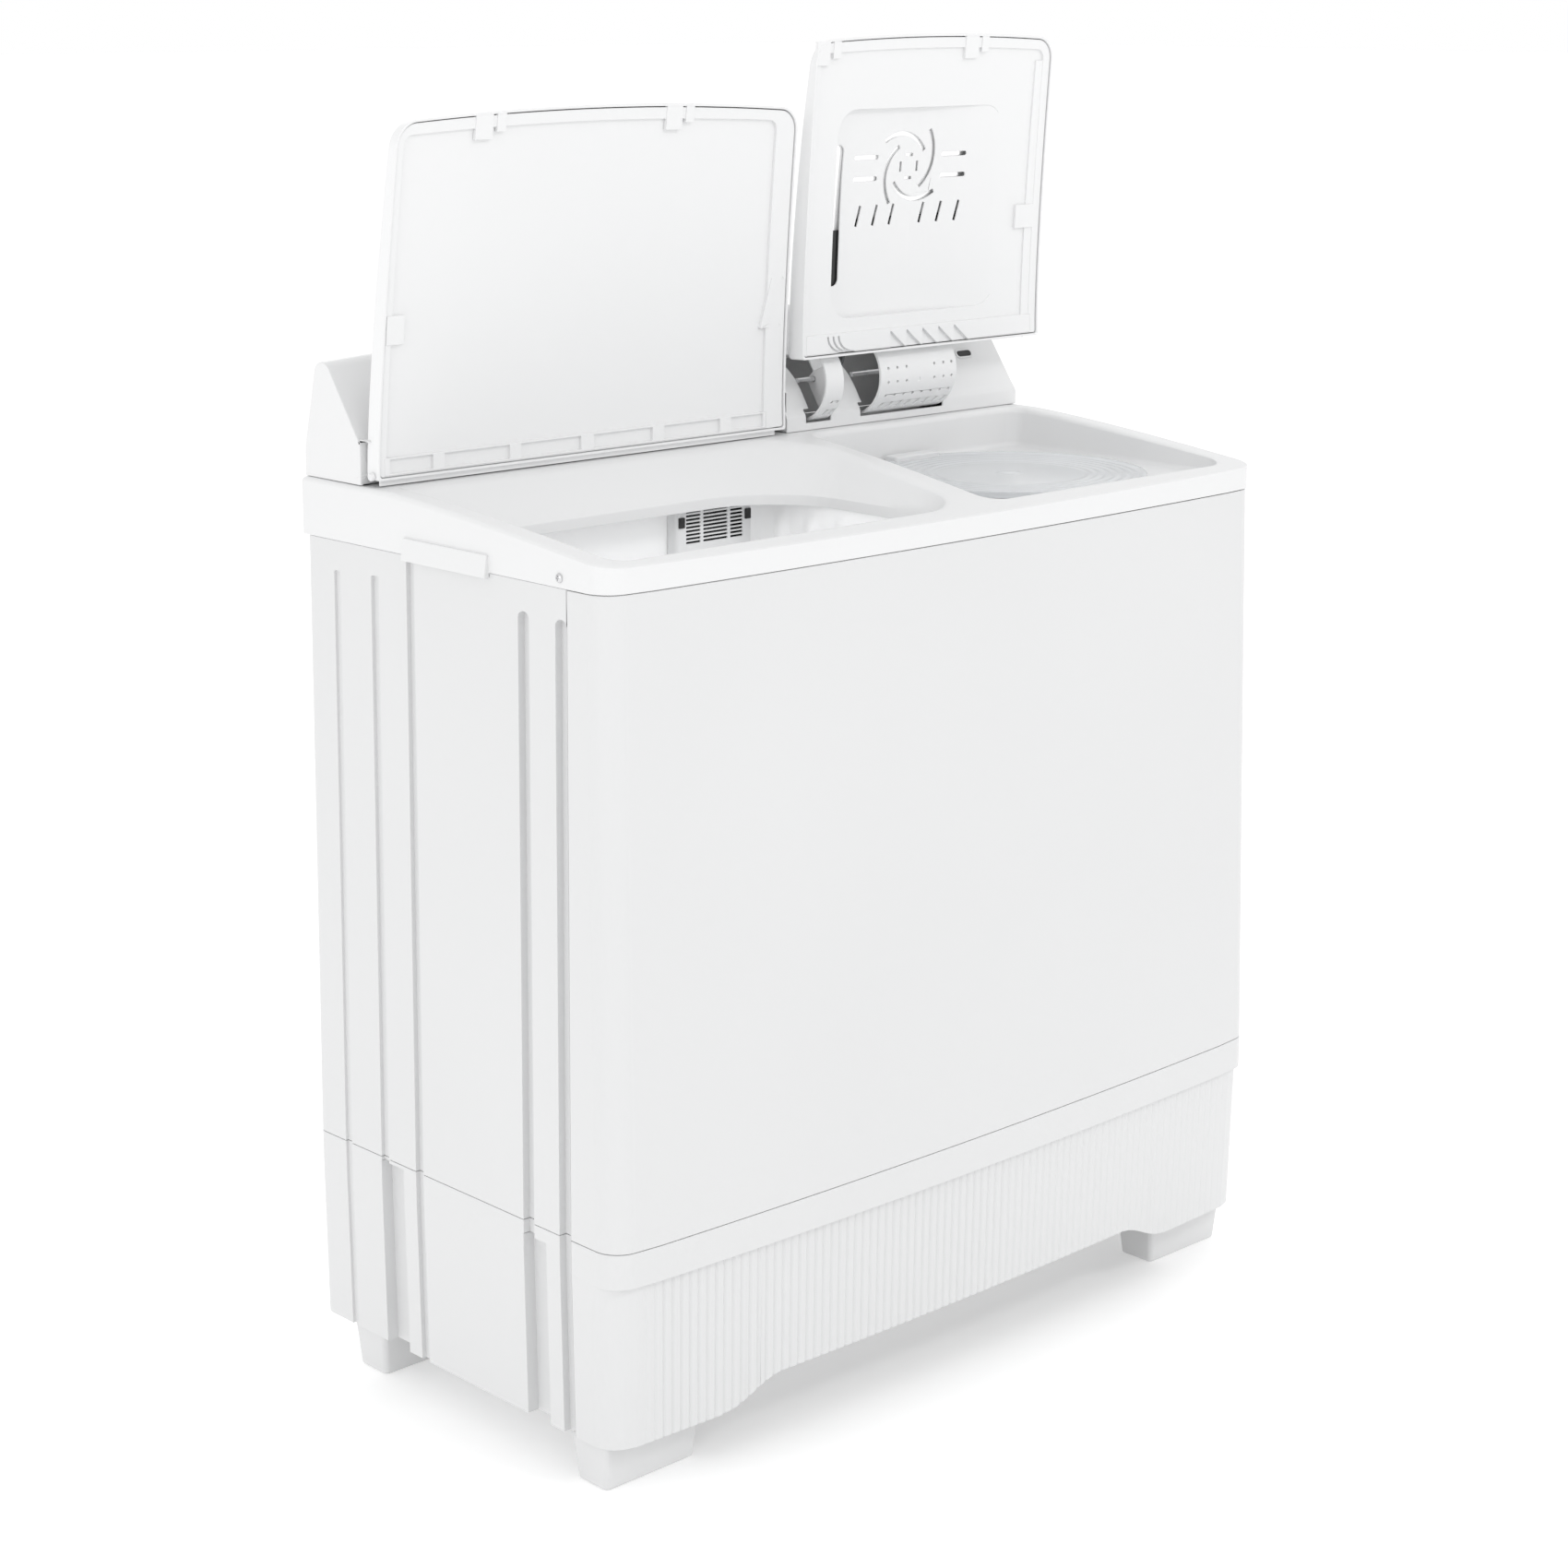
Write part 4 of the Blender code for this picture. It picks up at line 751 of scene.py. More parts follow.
panel = {
    "foot": 0.9253, "top": 1.040, "crown": 0.016, "crownFrom": 0.965, "endGap": 0.002, "rear": 0.2405,
    "chin": ((0.131, 0.9395), (0.1320, 0.9430), (0.1345, 0.9462), (0.138, 0.9505)),     # y and z
    "nose": 0.014, "noseAt": 0.208,
    "faceLow": (0.134, 0.945), "faceHigh": (0.199, 1.036),      # y and z of the control face
    "slotFoot": 0.9335, "slotStep": 0.9480, "slotWaist": 0.962, "slotTop": 1.004,
    "lidRoom": (0.093, 0.1480, 0.968),                          # how far the wash lid's room reaches
}

wideSlot = {"x": (0.205, 0.336), "cove": 0.034, "step": 0.007}
narrowSlot = {"x": (0.122, 0.160), "cove": 0.030, "step": 0.009}


def crowned(x, y, z):
    lift = panel["crown"] * (1 - (x / casing["half"]) ** 2)
    return x, y, z + lift * max(0.0, (z - panel["crownFrom"]) / (panel["top"] - panel["crownFrom"]))


def panelOutline(inset=0.0):
    low = panel["foot"] if inset == 0 else panel["foot"] - 0.02
    top, rear = panel["top"] - inset, panel["rear"] - inset
    chin = [(y + inset, z) for y, z in panel["chin"]]
    nose = arc((panel["noseAt"], top - panel["nose"]), panel["nose"] - inset / 2, 142, 30, 12)
    return [(chin[0][0], low), *chin, *nose, (rear - 0.001, low + 0.03), (rear, low)]


def armSlot(slot):
    # a slot for a hinge arm, whose left jamb swings away in a round shoulder towards the top
    (x0, x1), step, cove = slot["x"], slot["step"], slot["cove"]
    foot, ledge, waist, top = (panel[k] for k in ("slotFoot", "slotStep", "slotWaist", "slotTop"))
    shoulder = [(x0 + step - cove + cove * math.cos(a), waist + (top - waist) * math.sin(a))
                for a in quarter(10)[::-1]]
    outline = [(x0, foot), (x1, foot), (x1, top), *shoulder, (x0 + step, ledge), (x0, ledge)]
    return frontPrism("slot", outline, 0.12, 0.205)


def makeControlPanel():
    half, wall = casing["half"] - panel["endGap"], casing["wall"]
    outer = sidePrism("controlPanel", panelOutline(), -half, half)
    room = sidePrism("room", panelOutline(wall), -half + wall, half - wall)
    steps = spread(-half, half, 24)
    outer, room = (reshape(sliced(piece, 0, steps), crowned) for piece in (outer, room))
    body = cut(outer, room)
    x, y, z = panel["lidRoom"]
    foot = panel["foot"] + 0.0009
    body = join(body, block("recessWalls", (-half + 0.001, 0.1345, foot), (x + 0.003, y + 0.002, z + 0.002)))
    lidRoom = block("lidRoom", (-0.47, 0.12, 0.92), (x, y, z))
    body = cutAll(body, [lidRoom, armSlot(narrowSlot), armSlot(wideSlot)])
    for node in ("wash_inlet", "spin_inlet", "cord_gland"):
        low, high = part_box(node)
        x, z, radius = (low.x + high.x) / 2, (low.z + high.z) / 2, (high.x - low.x) / 2 + 0.0005
        body = cut(body, rod("hole", (x, 0.200, z), (x, 0.26, z), radius))
    body = softEdges(body, 0.0012, 3, 34)
    place(body, paints["upper"], "casing_plastic", "cabinet", ["control_panel"])
    # a shallow trough stands behind each arm, and closes the slots' lower edge
    for name, slot in (("wideTrough", wideSlot), ("narrowTrough", narrowSlot)):
        x0, x1 = slot["x"]
        trough = block(name, (x0 - 0.004, 0.1345, foot), (x1 + 0.004, 0.1365, foot + 0.0028))
        place(softEdges(trough, 0.0004), paints["satin"], "casing_plastic", "cabinet")


faceAlong = (Vector((0, *panel["faceHigh"])) - Vector((0, *panel["faceLow"]))).normalized()
faceOut = Vector((0, -faceAlong.z, faceAlong.y))


def onFace(piece, middle):
    return aimed(piece, middle, faceOut)


def faceMiddle(x, share, lifted=True):
    # a point on the control face: how far along, and what share of the way up
    spot = Vector((0, *panel["faceLow"])).lerp(Vector((0, *panel["faceHigh"])), share)
    return Vector((x, spot.y, crowned(x, 0, spot.z)[2] if lifted else spot.z))


knobs = {
    # node: x, radius, marks round it, their sweep in degrees
    "wash_timer_knob": (-0.340, 0.024, 16, 300),
    "water_selector_knob": (-0.215, 0.019, 3, 90),
    "wash_mode_knob": (-0.090, 0.019, 3, 90),
    "spin_timer_knob": (0.400, 0.020, 6, 300),
}

knobShape = {
    "share": 0.75, "flutes": 36, "fluteDepth": 0.0008,
    "rows": ((0.0035, 0.0, 0.0), (0.0050, 0.0, 0.5), (0.0165, 0.0015, 0.5),      # height, draw, fluting
             (0.0185, 0.0022, 0.2), (0.0195, 0.0040, 0.0)),
    "grip": (0.0045, 0.84, 0.012, 0.0272),                  # half width, reach, foot, top
    "pointer": (0.0006, 0.37, 0.78, 0.0258, 0.0274),        # half width, from, to, foot, top
    "tick": (0.0030, 0.0058, 0.0072, 0.0005), "ring": (0.0010, 0.0018, 0.0006),
}


def fluted(radius):
    count = knobShape["flutes"]
    rings = []
    for z, draw, depth in knobShape["rows"]:
        ring = []
        for n in range(count * 4):
            a = 2 * math.pi * n / (count * 4)
            r = radius - draw - knobShape["fluteDepth"] * depth * (0.5 + 0.5 * math.cos(count * a))
            ring.append((r * math.cos(a), r * math.sin(a), z))
        rings.append(ring)
    return rings


def makeKnobs():
    for node, (x, radius, marks, sweep) in knobs.items():
        middle = faceMiddle(x, knobShape["share"])
        cap = loft(node + "Cap", fluted(radius))
        half, reach, foot, top = knobShape["grip"]
        grip = prism("grip", slotOutline(-half, half, -radius * reach, radius * reach), foot, top)
        cap = join(cap, roundTop(grip, top, 0.0012, 3))
        stem = rod("stem", (0, 0, 0.005), (0, 0, -0.016), 0.0030)
        cap = softEdges(join(cap, stem), 0.0005, 2, 40)
        place(onFace(cap, middle), paints["satin"], "tub_plastic", bodyOf[node], [node])
        half, start, end, foot, top = knobShape["pointer"]
        pointer = block(node + "Pointer", (-half, radius * start, foot), (half, radius * end, top))
        place(onFace(pointer, middle), paints["mark"], "grey_plastic", bodyOf[node])
        inner, outer, height = knobShape["ring"]
        ring = turned(node + "Scale", [(radius + inner, 0), (radius + inner, height),
                                       (radius + outer, height), (radius + outer, 0)], (0, 0), 72)
        near, short, long, half = knobShape["tick"]
        ticks = []
        for n in range(marks):
            angle = math.radians(90 + sweep / 2 - sweep * n / (marks - 1))
            far = radius + (short if n % 5 else long)
            tick = block("tick", (radius + near, -half, 0.0001), (far, half, 0.0003))
            tick.data.transform(Matrix.Rotation(angle, 4, "Z"))
            ticks.append(tick)
        place(onFace(gather([ring, *ticks]), middle), paints["mark"], "grey_plastic", "cabinet")


window = {
    "x": 0.400, "share": 0.43,
    "bezel": (0.0135, 0.0055, 0.0004, 0.0030), "inside": (0.0112, 0.0036),     # half sizes, foot, top
    "glass": (0.0109, 0.0034, 0.0008, 0.0034),
}


def makeStatusWindow():
    middle = faceMiddle(window["x"], window["share"], lifted=False)
    a, b, foot, top = window["bezel"]
    bezel = prism("statusBezel", slotOutline(-a, a, -b, b), foot, top)
    a, b = window["inside"]
    bezel = cut(bezel, prism("inside", slotOutline(-a, a, -b, b), -0.01, 0.01))
    place(onFace(softEdges(bezel, 0.0005), middle), paints["satin"], "casing_plastic", "cabinet")
    a, b, foot, top = window["glass"]
    glass = roundTop(prism("statusGlass", slotOutline(-a, a, -b, b), foot, top), top, 0.0006, 3)
    place(onFace(glass, middle), paints["black"], "black_plastic", "cabinet", ["status_window"])


makeControlPanel()
makeKnobs()
makeStatusWindow()
print("control panel made")


# lids; each is drawn closed and level, bent along the deck and swung open

lidClear = 0.0020
lidSkin = 0.0025

washLid = {
    "axis": (0.131, 0.9355), "open": 90, "x": (-0.455, 0.083), "y": (-0.2075, 0.1350),
    "bow": 0.010, "taper": 0.010, "thick": 0.023, "edge": 0.014, "corner": 0.024,
    "tray": (0.0105, 0.0300, 0.0140), "rim": 0.0048, "liner": 0.0070,     # tray margins left, right, front
    "ledge": 0.1135, "ledgeTop": 0.0040,
    "pockets": ((-0.4400, -0.3880), (-0.3740, -0.2930), (-0.2790, -0.2010),
                (-0.1840, -0.1050), (-0.0890, -0.0110), (0.0050, 0.0510)),
    "clips": ((-0.340, 0.024), (-0.098, 0.024)),                          # x and width, along the front
    "leftClip": ((-0.4470, -0.0240, 0.0006), (-0.4260, 0.0040, 0.0052)),
    "rightClip": ((0.0415, -0.0300, 0.0006), (0.0545, 0.0230, 0.0052)), "rightClipLean": 0.012,
    "dots": ((0.0700, -0.0284), (0.0690, 0.0216)), "pin": (0.0040, 0.0034, 0.0028),
}

spinLid = {
    "axis": (0.1525, 0.9775), "open": 92, "x": (0.090, 0.463), "y": (-0.2100, 0.1250),
    "bow": 0.006, "taper": 0.002, "thick": 0.026, "edge": 0.010, "corner": 0.024,
    "tray": (0.0090, 0.0145, 0.0140), "rim": 0.0043, "liner": 0.0065,
    "ledge": 0.1000, "ledgeTop": 0.0036,
    "clips": ((0.104, 0.022), (0.330, 0.024)),
    "rightClip": ((0.4180, -0.0250, 0.0006), (0.4480, 0.0010, 0.0050)),
    "step": ((0.4360, -0.1850, 0.0024), (0.4500, 0.1000, 0.0052)),
    "fan": (0.2560, -0.0745), "fanReach": (0.0480, 0.0275), "fanSweep": (215, 323), "fanWidth": 0.0048,
    "hub": (0.0125, 0.0055, 0.0032),                                      # radius, half length, width
    "level": (0.0475, 0.0840, 0.0115, 0.0024),                            # from, to, half pitch, half width
    "slanted": (-0.0740, -0.0485, -0.0230, 0.0230, 0.0485, 0.0740),
    "slant": (0.003, 0.0400, 0.0620, 0.0036),                             # lean, from, to, width
    "tall": (0.1400, 0.1540, -0.1010, 0.0500),
    "gussets": (0.2240, 0.0252, 5), "gussetReach": (0.1035, 0.1215), "ribs": (0.1290, 0.0080, 3),
    "baffle": (0.0182, 0.0188),                                           # its two heights
    "dish": (0.1345, 0.3900, -0.1380, 0.0850), "dishTop": 0.0155,
}


def lidOutline(lid, inset=0.0, margins=None):
    (x0, x1), (front, rear) = lid["x"], lid["y"]
    left, right, ahead, behind = margins or (inset,) * 4
    corner = max(0.006, lid["corner"] - max(left, ahead))
    outline = roundedBox(x0 + left, x1 - right, front + ahead, rear - behind,
                         (corner, corner, 0.003, 0.003), 12)
    middle, half, length = (x0 + x1) / 2, (x1 - x0) / 2, rear - front
    bent = []
    for x, y in crowded(outline, 0.022):
        share = max(0.0, (rear - y) / length)
        side = (x - middle) / half
        bent.append((x - lid["taper"] * side * share, y - lid["bow"] * (1 - side ** 2) * share ** 4))
    return bent


def lidHeight(lid, y):
    front, rear = lid["y"]
    share = min(1.0, max(0.0, (rear - y) / (rear - front)))
    return lid["thick"] - (lid["thick"] - lid["edge"]) * share ** 2.2


def lidSlices(lid):
    return spread(lid["y"][0] - lid["bow"], lid["y"][1], 18)


def opened(piece, lid):
    # bends a level lid piece along the deck, then swings it open about its hinge
    piece = sliced(piece, 1, lidSlices(lid))
    reshape(piece, lambda x, y, z: (x, y, deck["height"] - deckDrop(y) + lidClear + z))
    pivot = Vector((0, *lid["axis"]))
    turn = Matrix.Rotation(-math.radians(lid["open"]), 4, "X")
    piece.data.transform(Matrix.Translation(pivot) @ turn @ Matrix.Translation(-pivot))
    return piece


def lidShell(name, lid):
    thick, low = lid["thick"], lid["thick"] - lidSkin
    shell = roundTop(prism(name, lidOutline(lid), 0, thick), thick, 0.0070, 5)
    room = roundTop(prism("room", lidOutline(lid, lidSkin), -0.001, low), low, 0.0050, 4)
    for piece, top, skin in ((shell, thick, 0), (room, low, lidSkin)):
        sliced(piece, 1, lidSlices(lid))
        reshape(piece, lambda x, y, z: (x, y, z * (lidHeight(lid, y) - skin) / top if z > 0 else z))
    return sliced(cut(shell, room), 0, spread(*lid["x"], 9))


def lidLiner(name, lid):
    inset = lidSkin + 0.0010
    liner = prism(name, lidOutline(lid, inset), 0.0016, lid["liner"])
    left, right, ahead = lid["tray"]
    tray = prism("tray", lidOutline(lid, margins=(left, right, ahead, lidSkin + 0.004)), -0.001, lid["rim"])
    liner = cut(liner, tray)
    (x0, x1), rear = lid["x"], lid["y"][1]
    ledge = block("ledge", (x0 + left - 0.002, lid["ledge"], 0.0012),
                  (x1 - right + 0.002, rear - 0.0045, lid["rim"] + 0.001))
    return join(liner, ledge)


def parcelled(liner, lid):
    # small faces, so that no face has to reach round an opening
    return sliced(sliced(liner, 0, spread(*lid["x"], 13)), 1, lidSlices(lid))


def addClips(liner, lid):
    # snap clips along the front edge: a hooked tongue and a plain block beside it
    front = lid["y"][0] + lid["tray"][2]
    middle, half = (lid["x"][0] + lid["x"][1]) / 2, (lid["x"][1] - lid["x"][0]) / 2
    foot, top = 0.0004, 0.0046
    made = []
    for x, width in lid["clips"]:
        y = front - lid["bow"] * (1 - ((x - middle) / half) ** 2)
        side = x + width / 2
        made.append(block("tongue", (x - width / 2, y - 0.0125, foot), (side - 0.003, y + 0.0125, top)))
        made.append(block("block", (side + 0.002, y - 0.0125, foot), (side + 0.013, y + 0.0055, top)))
    return join(liner, gather(made))


def makeWashLid():
    lid = washLid
    shell = softEdges(lidShell("washLidShell", lid), 0.0005, 2, 50)
    place(opened(shell, lid), paints["lids"], "casing_plastic", "wash_lid", ["wash_lid"])
    liner = addClips(lidLiner("washLidLiner", lid), lid)
    (x0, x1), rear = lid["x"], lid["y"][1]
    y0, y1, top = lid["ledge"] + 0.0016, rear - 0.0060, lid["ledgeTop"] + 0.0004
    liner = cutAll(liner, [block("pocket", (a, y0, -0.001), (b, y1, top)) for a, b in lid["pockets"]])
    left, right = block("leftClip", *lid["leftClip"]), block("rightClip", *lid["rightClip"])
    right = reshape(right, lambda x, y, z: (x + lid["rightClipLean"] * (x < 0.05) * (y < 0), y, z))
    liner = join(liner, gather([left, right]))
    dots = [rod("dot", (x, y, -0.001), (x, y, 0.0022), 0.0016, 16) for x, y in lid["dots"]]
    lip = block("lip", (x0 + 0.005, rear - 0.0050, 0.0046), (x1 - 0.012, rear + 0.0055, 0.0066))
    liner = softEdges(parcelled(join(cutAll(liner, dots), lip), lid), 0.0004, 2, 40)
    place(opened(liner, lid), paints["lids"], "casing_plastic", "wash_lid", ["wash_lid_liner"])
    makeLidPins(lid)


def makeLidPins(lid):
    wide, narrow, step = lid["pin"]
    for node, side in (("left_lid_pin", -1), ("right_lid_pin", 1)):
        low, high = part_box(node)
        near, far = (high.x, low.x) if side < 0 else (low.x, high.x)
        length = abs(far - near)
        pin = turned(node + "Stud", [(0, 0), (wide, 0), (wide, step), (narrow, length), (0, length)],
                     (0, 0), 32)
        turn = Matrix.Rotation(math.pi / 2 * side, 4, "Y")
        pin.data.transform(Matrix.Translation((near, *lid["axis"])) @ turn)
        place(pin, paints["satin"], "casing_plastic", "wash_lid", [node])


def ribbon(points, width):
    # an outline of the given width along a line of points
    sides = ([], [])
    for n, (x, y) in enumerate(points):
        (xa, ya), (xb, yb) = points[max(0, n - 1)], points[min(len(points) - 1, n + 1)]
        run = math.hypot(xb - xa, yb - ya)
        nx, ny = -(yb - ya) / run * width / 2, (xb - xa) / run * width / 2
        sides[0].append((x + nx, y + ny))
        sides[1].append((x - nx, y - ny))
    return sides[0] + sides[1][::-1]


def fanSlots(lid):
    (cx, cy), (far, near), (start, end) = lid["fan"], lid["fanReach"], lid["fanSweep"]
    outlines = []
    for k in range(4):
        line = []
        for n in range(13):
            share = n / 12
            a = math.radians(start + (end - start) * share + 90 * k)
            r = far + (near - far) * (1 - (1 - share) ** 1.7)
            line.append((cx + r * math.cos(a), cy + r * math.sin(a)))
        outlines.append(ribbon(line, lid["fanWidth"]))
        radius, half, width = lid["hub"]
        a = math.radians(90 + 90 * k)
        mx, my = cx + radius * math.cos(a), cy + radius * math.sin(a)
        tx, ty = -math.sin(a) * half, math.cos(a) * half
        outlines.append(ribbon([(mx - tx, my - ty), (mx + tx, my + ty)], width))
    return outlines


def ventSlots(lid):
    cx, cy = lid["fan"]
    outlines = fanSlots(lid)
    start, end, pitch, half = lid["level"]
    for side in (-1, 1):
        for row in (-pitch, pitch):
            near, far = sorted((cx + side * start, cx + side * end))
            outlines.append(slotOutline(near, far, cy + row - half, cy + row + half))
    lean, start, end, width = lid["slant"]
    for x in lid["slanted"]:
        outlines.append(ribbon([(cx + x + lean, cy + start), (cx + x - lean, cy + end)], width))
    return outlines


def ventCutters(lid, grow=0.0):
    x0, x1, y0, y1 = lid["tall"]
    outlines = [*ventSlots(lid), slotOutline(x0 - grow, x1 + grow, y0, y1)]
    return [prism("vent", outline, -0.01, 0.04) for outline in outlines]


def addDish(liner, lid):
    x0, x1, y0, y1 = lid["dish"]
    low = lid["rim"] - 0.0004

    def dishTop(x, y):
        # deep enough to meet the shell, and fading away to the right
        deep = min(lid["dishTop"], lidHeight(lid, y) - lidSkin - 0.0028) - low
        return low + deep * min(1.0, max(0.0, (x1 - x) / (x1 - x0) / 0.45))

    floor = prism("dishFloor", roundedBox(x0 - 0.003, x1 + 0.003, y0 - 0.003, y1 + 0.003, (0.031,) * 4, 10),
                  lid["rim"] + 0.0004, 0.030)
    room = prism("dish", roundedBox(x0, x1, y0, y1, (0.028,) * 4, 10), -0.001, 0.030)
    for piece, extra in ((floor, 0.0018), (room, 0.0)):
        sliced(sliced(piece, 0, spread(x0, x1, 10)), 1, lidSlices(lid))
        reshape(piece, lambda x, y, z: (x, y, dishTop(x, y) + extra if z > 0.029 else z))
    return cut(join(liner, floor), room)


def gussetCutters(lid):
    # slanted gussets above the wide arm
    start, pitch, count = lid["gussets"]
    y0, y1 = lid["gussetReach"]
    made = []
    for n in range(count):
        x = start + pitch * n
        corners = ((x, y0), (x + 0.0015, y0), (x + 0.0235, y1), (x + 0.0005, y1))
        made.append(prism("gusset", corners, -0.001, 0.0050))
    return made


def cutRibs(liner, lid):
    # curved ribs above the narrow arm, cut one by one because they cross
    start, pitch, count = lid["ribs"]
    for n in range(count):
        line = [(start + pitch * n + 0.024 * (1 - math.cos(a)), 0.1030 + 0.0185 * math.sin(a))
                for a in quarter(8)]
        liner = cut(liner, prism("rib", ribbon(line, 0.0026), -0.001, 0.0050))
    return liner


def makeSpinLid():
    lid = spinLid
    shell = lidShell("spinLidShell", lid)
    shell = softEdges(cutAll(shell, ventCutters(lid)), 0.0005, 2, 50)
    place(opened(shell, lid), paints["lids"], "casing_plastic", "spin_lid", ["spin_lid"])

    liner = addDish(addClips(lidLiner("spinLidLiner", lid), lid), lid)
    liner = cutAll(liner, ventCutters(lid, 0.001))
    liner = join(join(liner, block("rightClip", *lid["rightClip"])), block("step", *lid["step"]))
    liner = cutRibs(cutAll(liner, gussetCutters(lid)), lid)
    liner = softEdges(parcelled(liner, lid), 0.0004, 2, 40)
    place(opened(liner, lid), paints["lids"], "casing_plastic", "spin_lid", ["spin_lid_liner"])
    # dark baffles lie between liner and shell, behind the slanted vents and the tall one
    (cx, cy), (foot, top) = lid["fan"], lid["baffle"]
    baffles = [block("baffle", (cx - 0.085, cy + 0.0530, foot), (cx + 0.085, cy + 0.0720, top)),
               block("baffle", (0.1360, -0.0100, foot), (0.1660, 0.0560, top))]
    place(opened(gather(baffles), lid), paints["black"], "black_plastic", "spin_lid")
    for node in ("wide_hinge_arm", "narrow_hinge_arm"):
        makeArm(node, lid)


arms = {
    "radius": 0.045, "thick": 0.003, "from": 139, "to": 252, "pin": 0.0033, "drill": 0.0016,
    "innerWeb": 0.42,                                     # how far across the wide arm it stands
    "wideHoles": ((168, (0.0125, 0.0265, 0.0410, 0.0850, 0.0995, 0.1125)),      # degrees, places across
                  (188, (0.0125, 0.0265, 0.0410, 0.0850, 0.0995, 0.1125)),
                  (209, tuple(0.0125 + 0.0143 * n for n in range(8)))),
    "narrowHoles": ((209, (0.0125, 0.0215)),),
    "widePockets": (8, 0.0080, 0.0143), "narrowPockets": (2, 0.0060, 0.0143 * 0.65),
    "pocketSweep": (222, 236), "dimple": 188,
}


def makeArm(node, lid):
    axisY, axisZ = centre = lid["axis"]
    low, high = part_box(node)
    x0, x1, r, thick = low.x, high.x, arms["radius"], arms["thick"]
    kind = "wide" if node.startswith("wide") else "narrow"
    start, end = arms["from"], arms["to"]
    strap = arc(centre, r, start, end, 30) + arc(centre, r - thick, end, start, 30)
    body = sidePrism(node + "Strap", strap, x0, x1)
    web = [(axisY, axisZ + 0.009), *arc(centre, r - 0.001, 146, 250, 24), (axisY + 0.006, axisZ - 0.009),
           (axisY + 0.010, axisZ)]
    inner = x0 + (x1 - x0) * arms["innerWeb"]
    webs = [(inner, inner + thick)] if kind == "wide" else []
    for a, b in (*webs, (x1 - thick, x1)):
        body = join(body, sidePrism("web", web, a, b))
    body = cut(body, rod("bore", (x0 - 0.01, *centre), (x1 + 0.01, *centre), arms["pin"]))

    def drilled(x, angle, inwards, radius, sides):
        a = math.radians(angle)
        at, out = Vector((x, axisY, axisZ)), Vector((0, math.cos(a), math.sin(a)))
        return rod("drill", at + out * (r - inwards), at + out * (r + 0.004), radius, sides)

    cutters = [drilled(x0 + offset, angle, thick + 0.004, arms["drill"], 14)
               for angle, offsets in arms[kind + "Holes"] for offset in offsets]
    count, first, pitch = arms[kind + "Pockets"]
    a0, a1 = (math.radians(angle) for angle in arms["pocketSweep"])
    for n in range(count):                                # slanted pockets across the foot of the strap
        x = x0 + first + pitch * n
        corners = ((x + 0.0040, a0), (x + 0.0085, a0), (x + 0.0055, a1), (x + 0.0005, a1))
        rings = [[(cx, axisY + q * math.cos(a), axisZ + q * math.sin(a)) for cx, a in corners]
                 for q in (r - 0.0014, r + 0.004)]
        cutters.append(loft("pocket", rings))
    body = cutAll(body, cutters)
    if kind == "wide":
        body = cut(body, drilled((x0 + x1) / 2, arms["dimple"], 0.0008, 0.0024, 20))
    place(softEdges(body, 0.0004, 2, 40), paints["lids"], "casing_plastic", "spin_lid", [node])


makeWashLid()
makeSpinLid()
print("lids made")


# wash side: tub, pulsator and lint filter

tub = {
    "x": (-0.440, 0.028), "y": (-0.206, 0.112), "low": 0.315, "high": 0.868,
    "radii": (0.060, 0.060, 0.018, 0.060), "floorRound": 0.034, "levels": (0.42, 0.84, 0.855),
    "ribPitch": 0.046, "ribWidth": 0.020, "ribDepth": 0.0055, "ribsFrom": 0.36, "ribsTo": 0.85,
    "bore": 0.016, "drainAt": 0.175, "drain": 0.018, "strainer": ((0.006, 5), (0.0125, 11)),
}


def ribbed(points, share):
    # upright ribs on the left, right and front walls stand into the room
    (x0, x1), (y0, y1) = tub["x"], tub["y"]
    made = []
    for x, y in points:
        push = Vector((0.0, 0.0))
        if x < x0 + 0.006 or x > x1 - 0.006:
            along, inward = y - (y0 + y1) / 2, Vector((1.0 if x < 0.5 * (x0 + x1) else -1.0, 0))
        elif y < y0 + 0.006:
            along, inward = x - (x0 + x1) / 2, Vector((0, 1.0))
        else:
            along, inward = 0.0, Vector((0, 0))
        near = abs((along / tub["ribPitch"]) % 1 - 0.5) * tub["ribPitch"]
        if near < tub["ribWidth"] / 2:
            push = inward * tub["ribDepth"] * share * math.cos(math.pi * near / tub["ribWidth"]) ** 0.8
        made.append((x + push.x, y + push.y))
    return made


